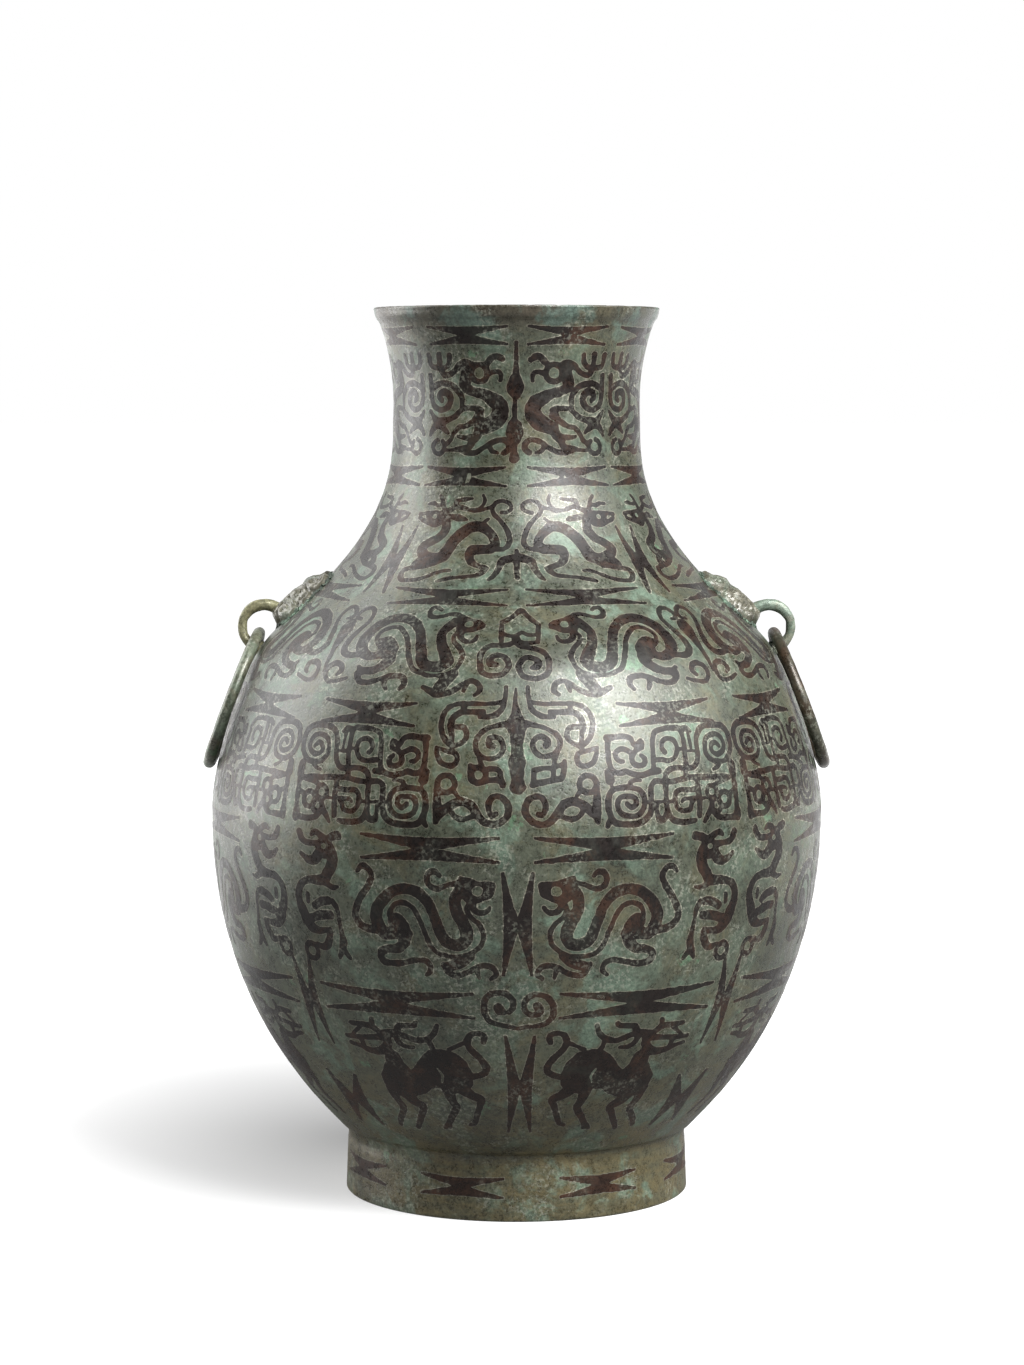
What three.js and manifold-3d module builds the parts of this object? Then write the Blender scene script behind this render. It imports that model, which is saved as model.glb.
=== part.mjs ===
// Hu wine jar: a cast bronze vessel with two animal masks, two loops and two loose rings.
// Millimetres, +Z up, origin on the floor under the jar's axis. The masks sit at +X and -X.
import * as THREE from 'three';
import { mergeVertices } from 'three/addons/utils/BufferGeometryUtils.js';
import Module from 'manifold-3d';

const wasm = await Module();
wasm.setup();

// Vessel heights and radii, all on the outer surface
const HEIGHT = 350;
const LIP_RADIUS = 56.3;
const LIP_BAND = 6.5;
const LIP_STEP = 0.9;
const LIP_FLARE = 1.4;
const NECK_RADIUS = 48.8;
const NECK_DROP = 50;
const SHOULDER_RADIUS = 102.5;
const SHOULDER_HEIGHT = 214.6;
const SHOULDER_SLOPE = 58.5;
const BELLY_RADIUS = 121.1;
const BELLY_HEIGHT = 152.2;
const BASE_RADIUS = 70.3;
const BASE_HEIGHT = 27;
const BASE_SLOPE = 43.2;

// Walls and foot ring
const WALL = 2.8;
const LIP_WALL = 3.4;
const EDGE_ROUND = 0.7;
const FOOT_RADIUS = 68.2;
const FOOT_NECKING = 0.9;
const FOOT_WALL = 3.8;
const FOOT_FILLET = 5.5;
const FLOOR_SINK = 2.6;

// How full each stretch of the outline is, as a share of that stretch's own height
const LIP_FULLNESS = 0.46;
const NECK_FULLNESS = 0.26;
const THROAT_FULLNESS = 0.53;
const SHOULDER_FULLNESS = 0.24;
const UPPER_BELLY_FULLNESS = 0.18;
const WIDEST_FULLNESS = 0.33;
const LOWER_BELLY_FULLNESS = 0.6;
const BASE_FULLNESS = 0.13;
const LIP_PULL_IN = 0.34;
const LIP_PULL_DOWN = 0.94;

// Handles: loop, ring and animal mask
const LOOP_RISE = 9.6;
const LOOP_HEIGHT = SHOULDER_HEIGHT + LOOP_RISE;
const LOOP_STAND = 5.6;
const LOOP_RADIUS = 9.05;
const LOOP_WIRE = 3.7;
const LOOP_ROOT_SWELL = 0.8;
const LOOP_FOOT_SWELL = 1.4;
const LOOP_SWELL_START = 0.78;
const LOOP_ROOT_ANGLE = 160;
const LOOP_FOOT_ANGLE = -88;
const RING_OUTSIDE = 60;
const RING_WIRE = 4.8;
const RING_SEAT_ANGLE = -50;
const RING_PLAY = 0.7;
const RING_REST_GAP = 0.8;
const MASK_RISE = 11.4;
const MASK_LENGTH = 29.4;
const MASK_WIDTH = 35;
const MASK_PLATE = 2.4;
const SNOUT_STAND = 5.4;
const BROW_STAND = 4.9;
const BROW_LIFT = 0.6;
const HORN_WIRE = 3.4;
const EYE_DIAMETER = 5.6;

// Forms on the mask: places and radii are shares of its half width and half length, angles are degrees
const SNOUT = { up: -0.18, wide: 0.62, long: 0.9, stand: SNOUT_STAND };
const MUZZLE = { up: -0.5, wide: 0.9, long: 0.4, stand: 0.92 * SNOUT_STAND };
const CREST = { up: 0.6, wide: 0.4, long: 0.3, stand: BROW_STAND };
const EYE = { across: 0.44, up: -0.02, stand: 0.95 * SNOUT_STAND };
const BROW = {
  across: 0.34, up: 0.12, from: 0.46, to: 0.4, start: 10, sweep: 150,
  wire: 0.8 * HORN_WIRE, lift: MASK_PLATE + BROW_LIFT,
};
const HORN = {
  across: 0.54, up: 0.62, from: 0.3, to: 0.08, start: 200, sweep: -330,
  wire: HORN_WIRE, lift: BROW_STAND - HORN_WIRE / 2,
};
const CHEEK = {
  across: 0.72, up: -0.24, from: 0.22, to: 0.06, start: 120, sweep: -330,
  wire: 0.75 * HORN_WIRE, lift: MASK_PLATE,
};

// Half of the mask's outline from snout to crest, as shares across and up: each stretch has two
// pulls and an end, for the snout, the cheek, the ear, the horn's tip and the crest
const MASK_EDGE = [
  [[0.34, -1], [0.5, -0.84], [0.6, -0.62]],
  [[0.78, -0.72], [1, -0.42], [1, -0.1]],
  [[1, 0.18], [0.8, 0.2], [0.82, 0.42]],
  [[0.96, 0.62], [0.74, 0.98], [0.5, 0.94]],
  [[0.3, 0.9], [0.2, 0.62], [0, 1]],
];

// Gap left where one piece seats on another
const SEAT = 0.3;

// How finely round forms are cut into faces
const LATHE_SIDES = 60;
const LOOP_STEPS = 24;
const LOOP_SIDES = 10;
const RING_STEPS = 42;
const RING_SIDES = 10;
const BALL_SIDES = 12;
const CURL_STEPS = 6;
const CURL_STEP_ANGLE = 60;

const degrees = THREE.MathUtils.degToRad;
const point = (x, y) => new THREE.Vector2(x, y);

const bronze = (name, color, roughness) =>
  new THREE.MeshStandardMaterial({ name, color, roughness, metalness: 0.75 });
const jarBronze = bronze('jar_bronze', 0x6b7a68, 0.5);
const maskBronze = bronze('mask_bronze', 0x77705c, 0.55);
const loopBronze = bronze('loop_bronze', 0x6f7460, 0.5);
const ringBronze = bronze('ring_bronze', 0x4f4a3a, 0.45);

// Outer outline from the foot's joint up to the underside of the lip band
function outerCurves() {
  const neckHeight = HEIGHT - NECK_DROP;
  const bandHeight = HEIGHT - LIP_BAND;
  const bandRadius = LIP_RADIUS - LIP_STEP - LIP_FLARE;
  const lean = degrees(SHOULDER_SLOPE);
  const spring = degrees(BASE_SLOPE);
  const lowerRise = BELLY_HEIGHT - BASE_HEIGHT;
  const upperRise = SHOULDER_HEIGHT - BELLY_HEIGHT;
  const throatRise = neckHeight - SHOULDER_HEIGHT;
  const flareRise = bandHeight - neckHeight;
  const along = (share, rise) =>
    point(Math.cos(lean), -Math.sin(lean)).multiplyScalar(share * rise);
  const base = point(BASE_RADIUS, BASE_HEIGHT);
  const belly = point(BELLY_RADIUS, BELLY_HEIGHT);
  const shoulder = point(SHOULDER_RADIUS, SHOULDER_HEIGHT);
  const neck = point(NECK_RADIUS, neckHeight);
  const lip = point(bandRadius, bandHeight);
  const lipPull = point(-LIP_PULL_IN, -LIP_PULL_DOWN).multiplyScalar(LIP_FULLNESS * flareRise);
  return [
    new THREE.CubicBezierCurve(base,
      point(Math.sin(spring), Math.cos(spring)).multiplyScalar(BASE_FULLNESS * lowerRise).add(base),
      point(BELLY_RADIUS, BELLY_HEIGHT - LOWER_BELLY_FULLNESS * lowerRise), belly),
    new THREE.CubicBezierCurve(belly,
      point(BELLY_RADIUS, BELLY_HEIGHT + WIDEST_FULLNESS * upperRise),
      along(UPPER_BELLY_FULLNESS, upperRise).add(shoulder), shoulder),
    new THREE.CubicBezierCurve(shoulder,
      shoulder.clone().sub(along(SHOULDER_FULLNESS, throatRise)),
      point(NECK_RADIUS, neckHeight - THROAT_FULLNESS * throatRise), neck),
    new THREE.CubicBezierCurve(neck,
      point(NECK_RADIUS, neckHeight + NECK_FULLNESS * flareRise), lipPull.add(lip), lip),
  ];
}

// Points along the outline, moved outward by grow; the steps say how fine each stretch is
function outline(grow, steps = [10, 6, 9, 4]) {
  const points = [];
  outerCurves().forEach((curve, index) => {
    for (let step = index ? 1 : 0; step <= steps[index]; step += 1) {
      const share = step / steps[index];
      const place = curve.getPoint(share);
      const tangent = curve.getTangent(share);
      points.push(place.add(point(tangent.y, -tangent.x).multiplyScalar(grow)));
    }
  });
  return points;
}

const wallLine = outline(0, [60, 40, 60, 20]);

function wallRadiusAt(height) {
  const above = wallLine.findIndex((place) => place.y >= height);
  const [low, high] = [wallLine[above - 1], wallLine[above]];
  return low.x + (high.x - low.x) * (height - low.y) / (high.y - low.y);
}

// Distance from a point (radius, height) to the vessel's outer surface
function distanceToWall(radius, height) {
  return Math.min(...wallLine.map((place) => Math.hypot(place.x - radius, place.y - height)));
}

// A closed solid from a geometry: shared vertices merged, flat triangles dropped
function solidFrom(geometry) {
  const bare = geometry.clone();
  bare.deleteAttribute('normal');
  bare.deleteAttribute('uv');
  const merged = mergeVertices(bare, 1e-4);
  const corners = merged.index.array;
  const kept = [];
  for (let at = 0; at < corners.length; at += 3) {
    const [a, b, c] = corners.slice(at, at + 3);
    if (a !== b && b !== c && c !== a) kept.push(a, b, c);
  }
  const mesh = new wasm.Mesh({
    numProp: 3,
    vertProperties: new Float32Array(merged.attributes.position.array),
    triVerts: new Uint32Array(kept),
  });
  mesh.merge();
  return new wasm.Manifold(mesh);
}

function geometryFrom(solid) {
  const mesh = solid.getMesh();
  const geometry = new THREE.BufferGeometry();
  geometry.setAttribute('position', new THREE.BufferAttribute(mesh.vertProperties, 3));
  geometry.setIndex(new THREE.BufferAttribute(mesh.triVerts, 1));
  return geometry;
}

// A turned solid; its outline runs from the axis round to the axis
function turned(points, sides = LATHE_SIDES) {
  return new THREE.LatheGeometry(points, sides).rotateX(Math.PI / 2);
}

// The cast vessel: hollow foot ring, floor, thin wall and thickened lip
function vesselGeometry() {
  const footTop = FOOT_RADIUS - FOOT_NECKING;
  const footInside = FOOT_RADIUS - FOOT_WALL;
  const inside = outline(-WALL, [7, 4, 7, 3]).slice(1).reverse();
  const lipInside = LIP_RADIUS - LIP_WALL;
  const floorTop = BASE_HEIGHT - FLOOR_SINK;
  const underside = floorTop - WALL;
  const fillet = new THREE.QuadraticBezierCurve(point(footTop, BASE_HEIGHT - FOOT_FILLET),
    point(footTop, BASE_HEIGHT - FOOT_FILLET / 2), point(BASE_RADIUS, BASE_HEIGHT));
  const floorLine = new THREE.QuadraticBezierCurve(inside[inside.length - 1],
    point(BASE_RADIUS - 2 * WALL, floorTop), point(0, floorTop));
  return turned([
    point(0, underside),
    point(footInside - 2 * EDGE_ROUND, underside),
    point(footInside, underside - 2 * EDGE_ROUND),
    point(footInside, EDGE_ROUND),
    point(footInside + EDGE_ROUND, 0),
    point(FOOT_RADIUS - EDGE_ROUND, 0),
    point(FOOT_RADIUS, EDGE_ROUND),
    ...fillet.getPoints(3),
    ...outline(0).slice(1),
    point(LIP_RADIUS - LIP_FLARE, HEIGHT - LIP_BAND + LIP_STEP / 2),
    point(LIP_RADIUS, HEIGHT - EDGE_ROUND),
    point(LIP_RADIUS - EDGE_ROUND, HEIGHT),
    point(lipInside + EDGE_ROUND, HEIGHT),
    point(lipInside, HEIGHT - EDGE_ROUND),
    ...inside,
    ...floorLine.getPoints(3).slice(1),
  ]);
}

// A solid a little larger than the vessel, used to fit what seats on its wall
function wallSeat() {
  const grown = outline(SEAT);
  return solidFrom(turned([
    point(0, grown[0].y), ...grown, point(0, grown[grown.length - 1].y),
  ]));
}

// A round bar along a flat curve in the XZ plane, thicker where the swell function says
function sweptBar(route, radiusAt, steps, sides) {
  const positions = [];
  const index = [];
  for (let step = 0; step <= steps; step += 1) {
    const share = step / steps;
    const centre = route.getPoint(share);
    const tangent = route.getTangent(share);
    const radius = radiusAt(share);
    for (let side = 0; side < sides; side += 1) {
      const turn = 2 * Math.PI * side / sides;
      const out = radius * Math.cos(turn);
      positions.push(centre.x + tangent.y * out, radius * Math.sin(turn), centre.y - tangent.x * out);
      const next = (side + 1) % sides;
      const here = step * sides;
      if (step < steps) {
        index.push(here + side, here + next, here + sides + next);
        index.push(here + side, here + sides + next, here + sides + side);
      }
    }
  }
  for (let side = 1; side < sides - 1; side += 1) {
    const last = steps * sides;
    index.push(0, side + 1, side);
    index.push(last, last + side, last + side + 1);
  }
  const geometry = new THREE.BufferGeometry();
  geometry.setAttribute('position', new THREE.Float32BufferAttribute(positions, 3));
  geometry.setIndex(index);
  return geometry;
}

const loopCentre = point(wallRadiusAt(LOOP_HEIGHT) + LOOP_STAND, LOOP_HEIGHT);

// The loop's bar springs from the mask's mouth, rounds outward and ends on the wall
function loopBar(extraRadius, extraLength) {
  const start = degrees(LOOP_ROOT_ANGLE) + extraLength / LOOP_RADIUS;
  const end = degrees(LOOP_FOOT_ANGLE);
  const route = new THREE.ArcCurve(loopCentre.x, loopCentre.y, LOOP_RADIUS, start, end, true);
  const radiusAt = (share) => {
    const rootSwell = LOOP_ROOT_SWELL * THREE.MathUtils.smoothstep(1 - share, LOOP_SWELL_START, 1);
    const footSwell = LOOP_FOOT_SWELL * THREE.MathUtils.smoothstep(share, LOOP_SWELL_START, 1);
    return LOOP_WIRE / 2 + rootSwell + footSwell + extraRadius;
  };
  return solidFrom(sweptBar(route, radiusAt, LOOP_STEPS, LOOP_SIDES));
}

function loopGeometry() {
  return geometryFrom(loopBar(0, 0).subtract(wallSeat()));
}

// Where the ring's bar passes through the loop: the ring swings about this point
function ringPivot() {
  const reach = LOOP_RADIUS - LOOP_WIRE / 2 - LOOP_FOOT_SWELL / 2 - RING_WIRE / 2 - RING_PLAY;
  const angle = degrees(RING_SEAT_ANGLE);
  return point(Math.cos(angle), Math.sin(angle)).multiplyScalar(reach).add(loopCentre);
}

// Smallest lean from the vertical that keeps the hanging ring off the belly
function ringLean(pivot) {
  const middle = (RING_OUTSIDE - RING_WIRE) / 2;
  const needed = RING_WIRE / 2 + RING_REST_GAP;
  const clear = (lean) => {
    for (let turn = 0; turn <= 180; turn += 6) {
      const drop = middle * (1 - Math.cos(degrees(turn)));
      const across = middle * Math.sin(degrees(turn));
      const x = pivot.x + drop * Math.sin(lean);
      if (distanceToWall(Math.hypot(x, across), pivot.y - drop * Math.cos(lean)) < needed) return false;
    }
    return true;
  };
  let [low, high] = [0, Math.PI / 2];
  for (let round = 0; round < 24; round += 1) {
    const middleLean = (low + high) / 2;
    if (clear(middleLean)) high = middleLean;
    else low = middleLean;
  }
  return high;
}

// The ring hangs from its pivot, resting against the belly
function ringGeometry() {
  const middle = (RING_OUTSIDE - RING_WIRE) / 2;
  const pivot = ringPivot();
  return new THREE.TorusGeometry(middle, RING_WIRE / 2, RING_SIDES, RING_STEPS)
    .rotateY(Math.PI / 2)
    .translate(0, 0, -middle)
    .rotateY(-ringLean(pivot))
    .translate(pivot.x, 0, pivot.y);
}

// The mask's whole outline, up the slope along y
function maskOutline() {
  const wide = MASK_WIDTH / 2;
  const long = MASK_LENGTH / 2;
  const place = (side, [across, up]) => point(side * across * wide, up * long);
  const shape = new THREE.Shape();
  const bend = (pullA, pullB, end) =>
    shape.bezierCurveTo(pullA.x, pullA.y, pullB.x, pullB.y, end.x, end.y);
  shape.moveTo(0, -long);
  MASK_EDGE.forEach(([pullA, pullB, end]) => bend(place(1, pullA), place(1, pullB), place(1, end)));
  for (let at = MASK_EDGE.length - 1; at >= 0; at -= 1) {
    const [pullA, pullB] = MASK_EDGE[at];
    const end = at ? place(-1, MASK_EDGE[at - 1][2]) : point(0, -long);
    bend(place(-1, pullB), place(-1, pullA), end);
  }
  return shape;
}

const ball = (width, length, height) =>
  new THREE.SphereGeometry(1, BALL_SIDES, BALL_SIDES / 2).rotateX(Math.PI / 2)
    .scale(width / 2, length / 2, height);

// A curled bar in the mask's own plane, for the horns, the brows and the cheek curls
function curl(side, form) {
  const wide = MASK_WIDTH / 2;
  const steps = CURL_STEPS + Math.round(Math.abs(form.sweep) / CURL_STEP_ANGLE);
  const [first, last] = [form.from * wide, form.to * wide];
  const points = [];
  for (let step = 0; step <= steps; step += 1) {
    const share = step / steps;
    const radius = first + (last - first) * share;
    const angle = degrees(form.start + form.sweep * share);
    const x = form.across * wide + radius * Math.cos(angle);
    const y = form.up * MASK_LENGTH / 2 + radius * Math.sin(angle);
    points.push(new THREE.Vector3(side * x, y, form.lift));
  }
  const section = new THREE.Shape().absarc(0, 0, form.wire / 2, 0, 2 * Math.PI);
  return new THREE.ExtrudeGeometry(section, {
    steps, curveSegments: 3, extrudePath: new THREE.CatmullRomCurve3(points),
  });
}

// The mask lies flat here, up the slope along y and standing proud along z
function flatMask() {
  const wide = MASK_WIDTH / 2;
  const long = MASK_LENGTH / 2;
  const depth = 3 * MASK_PLATE;
  let mask = solidFrom(new THREE.ExtrudeGeometry(maskOutline(), {
    depth, curveSegments: 4, bevelEnabled: false,
  }).translate(0, 0, MASK_PLATE - depth));
  const add = (geometry) => { mask = mask.add(solidFrom(geometry)); };
  for (const form of [SNOUT, MUZZLE, CREST]) {
    add(ball(form.wide * wide, form.long * MASK_LENGTH, form.stand).translate(0, form.up * long, 0));
  }
  for (const side of [-1, 1]) {
    add(ball(EYE_DIAMETER, EYE_DIAMETER, EYE.stand)
      .translate(side * EYE.across * wide, EYE.up * long, 0));
    for (const form of [BROW, HORN, CHEEK]) add(curl(side, form));
  }
  return geometryFrom(mask);
}

// The mask laid on the shoulder, its back cut to the wall and its mouth to the loop's root
function maskGeometry() {
  const height = LOOP_HEIGHT + MASK_RISE;
  const reach = MASK_LENGTH / 3;
  const above = point(wallRadiusAt(height + reach), height + reach);
  const below = point(wallRadiusAt(height - reach), height - reach);
  const slope = Math.atan2(above.y - below.y, below.x - above.x);
  const placed = flatMask()
    .rotateZ(Math.PI / 2)
    .rotateY(Math.PI / 2 - slope)
    .translate((above.x + below.x) / 2, 0, height);
  return geometryFrom(solidFrom(placed).subtract(wallSeat()).subtract(loopBar(SEAT, SEAT)));
}

function named(name, geometry, material) {
  const mesh = new THREE.Mesh(geometry, material);
  mesh.name = name;
  return mesh;
}

// One handle is a mask, its loop and its ring; the left one is the right one turned half round
function handle(side) {
  const group = new THREE.Group();
  group.add(
    named(`mask_${side}`, maskGeometry(), maskBronze),
    named(`loop_${side}`, loopGeometry(), loopBronze),
    named(`ring_${side}`, ringGeometry(), ringBronze),
  );
  group.rotation.z = side === 'left' ? Math.PI : 0;
  return group;
}

const jar = new THREE.Group();
jar.add(named('vessel_body', geometryFrom(solidFrom(vesselGeometry())), jarBronze));
jar.add(handle('right'), handle('left'));

const pivot = ringPivot();
console.log('ring pivot', pivot.x.toFixed(2), pivot.y.toFixed(2));
console.log('ring lean', THREE.MathUtils.radToDeg(ringLean(pivot)).toFixed(2));

export default jar;
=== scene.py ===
import math

import bpy
import numpy as np
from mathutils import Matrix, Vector, geometry, noise


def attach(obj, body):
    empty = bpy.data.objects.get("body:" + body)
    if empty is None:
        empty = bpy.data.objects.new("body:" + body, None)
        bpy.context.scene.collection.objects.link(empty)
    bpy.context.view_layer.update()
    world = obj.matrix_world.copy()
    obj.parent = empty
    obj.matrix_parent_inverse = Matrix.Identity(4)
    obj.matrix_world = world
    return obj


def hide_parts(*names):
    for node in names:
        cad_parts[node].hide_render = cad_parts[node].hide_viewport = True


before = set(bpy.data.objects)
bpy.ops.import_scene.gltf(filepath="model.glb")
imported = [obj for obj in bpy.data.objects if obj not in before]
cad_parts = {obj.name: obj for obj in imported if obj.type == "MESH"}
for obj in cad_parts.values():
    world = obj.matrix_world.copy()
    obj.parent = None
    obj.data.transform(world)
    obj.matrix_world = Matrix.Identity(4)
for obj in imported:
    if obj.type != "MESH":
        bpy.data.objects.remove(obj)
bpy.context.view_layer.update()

# The studio: white paper under and behind the jar, mirrored in its flanks as a pale haze, and five soft
# boxes: the key in front to the right, one at each side and two wide, weak ones behind. The camera
# stands about 1.4 m in front of the jar, a little under its lip, and looks slightly down.
CAMERA_PLACE = (-0.0018, -1.40687, 0.31864)
CAMERA_TILT = math.radians(90 - 4.7456)
CAMERA_LENS = 62.44
SENSOR_HEIGHT = 24
LIGHTS_AIM = Vector((0, 0, 0.18))
ROOM_GLOW = 0.07
# How pale the paper is to the lamps, for the light it throws on the jar and as the camera sees it
PAPER_BOUNCE = 0.2
PAPER_SHOWN = 0.38
# A painted shadow on the paper: the white it adds for the camera is weakest where the jar's shadow lies,
# behind it to the left
SHADOW_CENTRE = (-0.066, 0.09)
SHADOW_STRETCH = 0.6
SHADOW_REACH = 0.225
SHADOW_WHITE = 0.08
PAPER_WHITE = 1.02
# The white that the bronze mirrors, growing from the first distance behind the jar to the second
MIRRORED_FROM = 0.05
MIRRORED_TO = 0.6
MIRRORED_WHITE = 1.3

camera_data = bpy.data.cameras.new("camera")
camera_data.sensor_fit = "VERTICAL"
camera_data.sensor_height = SENSOR_HEIGHT
camera_data.lens = CAMERA_LENS
camera = bpy.data.objects.new("camera", camera_data)
camera.location = CAMERA_PLACE
camera.rotation_euler = (CAMERA_TILT, 0, 0)
bpy.context.scene.collection.objects.link(camera)
bpy.context.scene.camera = camera
bpy.context.scene.view_settings.view_transform = "Standard"


def soft_box(name, azimuth, elevation, distance, width, height, power):
    """An area light aimed at the jar; azimuth runs from the front towards the viewer's right."""
    data = bpy.data.lights.new(name, "AREA")
    data.shape = "RECTANGLE"
    data.size, data.size_y = width, height
    data.energy = power
    box = bpy.data.objects.new(name, data)
    turn, rise = math.radians(azimuth), math.radians(elevation)
    offset = Vector((math.sin(turn) * math.cos(rise), -math.cos(turn) * math.cos(rise), math.sin(rise)))
    box.location = LIGHTS_AIM + distance * offset
    box.rotation_euler = offset.to_track_quat("Z", "Y").to_euler()
    bpy.context.scene.collection.objects.link(box)


soft_box("key_box", 38, 40, 1.5, 0.75, 0.85, 53)
soft_box("left_box", -106, 22, 1.25, 0.9, 1.6, 28)
soft_box("right_box", 80, 34, 1.6, 0.9, 1.0, 11)
soft_box("rear_left_box", -154, 12, 1.8, 1.3, 1.6, 6)
soft_box("rear_right_box", 158, 12, 1.8, 1.2, 1.6, 3.5)


def add_node(tree, kind, values=None, **traits):
    """A new node; each value goes to the input of that name or number, wired in where it is a socket."""
    made = tree.nodes.new("ShaderNode" + kind)
    for trait, choice in traits.items():
        setattr(made, trait, choice)
    for field, value in (values or {}).items():
        if isinstance(value, bpy.types.NodeSocket):
            tree.links.new(value, made.inputs[field])
        else:
            made.inputs[field].default_value = value
    return made


world = bpy.data.worlds.new("white_room")
bpy.context.scene.world = world
world.use_nodes = True
tree = world.node_tree
tree.nodes.clear()
path = add_node(tree, "LightPath").outputs
seen = add_node(tree, "Math", {0: path["Is Camera Ray"], 1: path["Is Transmission Ray"]}, operation="MAXIMUM")
dim = add_node(tree, "Background", {"Color": (1, 1, 1, 1), "Strength": ROOM_GLOW})
white = add_node(tree, "Background", {"Color": (1, 1, 1, 1), "Strength": 1})
room = add_node(tree, "MixShader", {0: seen.outputs[0], 1: dim.outputs[0], 2: white.outputs[0]})
add_node(tree, "OutputWorld", {"Surface": room.outputs[0]})

bpy.ops.object.select_all(action="DESELECT")
bpy.ops.mesh.primitive_plane_add(size=60, location=(0, 0, 0))
floor = bpy.context.object
floor.name = "floor"
paper = bpy.data.materials.new("white_paper")
paper.use_nodes = True
tree = paper.node_tree
tree.nodes.clear()
path = add_node(tree, "LightPath").outputs
spot = add_node(tree, "TexCoord").outputs["Object"]
tint = add_node(tree, "MapRange", {"Value": path["Is Camera Ray"], "To Min": PAPER_BOUNCE,
                                   "To Max": PAPER_SHOWN})
coat = add_node(tree, "BsdfDiffuse", {"Color": tint.outputs[0]})
# Painted shadow: the camera's white is least at the shadow's centre and full at its reach
centred = add_node(tree, "Mapping", {
    "Vector": spot, "Scale": (1, SHADOW_STRETCH, 1),
    "Location": (-SHADOW_CENTRE[0], -SHADOW_CENTRE[1] * SHADOW_STRETCH, 0)})
reach = add_node(tree, "VectorMath", {0: centred.outputs[0]}, operation="LENGTH")
painted_shadow_white = add_node(tree, "MapRange", {"Value": reach.outputs["Value"], "From Max": SHADOW_REACH,
                                   "To Min": SHADOW_WHITE, "To Max": PAPER_WHITE})
lift = add_node(tree, "Math", {0: painted_shadow_white.outputs[0], 1: path["Is Camera Ray"]}, operation="MULTIPLY")
sides = add_node(tree, "SeparateXYZ", {0: spot})
behind = add_node(tree, "MapRange", {"Value": sides.outputs["Y"], "From Min": MIRRORED_FROM,
                                     "From Max": MIRRORED_TO, "To Max": MIRRORED_WHITE})
mirrored = add_node(tree, "Math", {0: behind.outputs[0], 1: path["Is Glossy Ray"], 2: lift.outputs[0]},
                    operation="MULTIPLY_ADD")
glow = add_node(tree, "Emission", {"Strength": mirrored.outputs[0]})
both = add_node(tree, "AddShader", {0: coat.outputs[0], 1: glow.outputs[0]})
add_node(tree, "OutputMaterial", {"Surface": both.outputs[0]})
floor.data.materials.append(paper)

# The vessel: one bronze casting with a thickened lip, a thin wall, a full belly and a hollow foot ring.
# Its skin is a smooth grey-green patina with sea-green patches, browner on the foot, dull at the lip.
HEIGHT = 0.350
LIP_RADIUS = 0.0563
LIP_BAND = 0.0065
FOOT_RADIUS = 0.0682
FOOT_NECKING = 0.0009
FOOT_WALL = 0.0038
FOOT_FILLET = 0.0055
BASE_HEIGHT = 0.027
FLOOR_SINK = 0.0026
WALL = 0.0028
LIP_WALL = 0.0034
EDGE_ROUND = 0.0007
# How far the cast skin swells and sinks, in slow waves and in small dents, and how far it is set in
WAVES = 0.00035
DENTS = 0.00008
SKIN_INSET = 0.00006
LIP_NICKS = 0.0006
SPIN_STEPS = 240
# Steps along the outline's four stretches, outside and inside
OUTSIDE_STEPS = (84, 44, 58, 28)
INSIDE_STEPS = (24, 12, 20, 8)
NEAR_AXIS = 0.01
# Outline in mm: each stretch is a curve from one (radius, height) to the next
OUTLINE = (
    ((70.3, 27), (81.4, 38.9), (121.1, 77), (121.1, 152.2)),
    ((121.1, 152.2), (121.1, 172.8), (108.4, 205), (102.5, 214.6)),
    ((102.5, 214.6), (91.7, 232.3), (48.8, 254.9), (48.8, 300)),
    ((48.8, 300), (48.8, 311.3), (47.2, 324.7), (54.0, 343.5)),
)


def along_outline(steps):
    """Points (radius, height) and outward normals along the outer outline, in metres."""
    places, normals = [], []
    for part, (a, b, c, d) in enumerate(OUTLINE):
        a, b, c, d = (np.array(p) / 1000 for p in (a, b, c, d))
        for step in range(1 if part else 0, steps[part] + 1):
            t = step / steps[part]
            places.append((1 - t) ** 3 * a + 3 * (1 - t) ** 2 * t * b + 3 * (1 - t) * t * t * c + t ** 3 * d)
            run = (1 - t) ** 2 * (b - a) + 2 * (1 - t) * t * (c - b) + t * t * (d - c)
            run = run / np.linalg.norm(run)
            normals.append(np.array((run[1], -run[0])))
    return np.array(places), np.array(normals)


def rounded(start, pull, end, steps):
    """A short curve from start to end drawn toward pull."""
    start, pull, end = np.array(start), np.array(pull), np.array(end)
    return [(1 - t) ** 2 * start + 2 * (1 - t) * t * pull + t * t * end
            for t in np.linspace(0, 1, steps + 1)]


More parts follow.
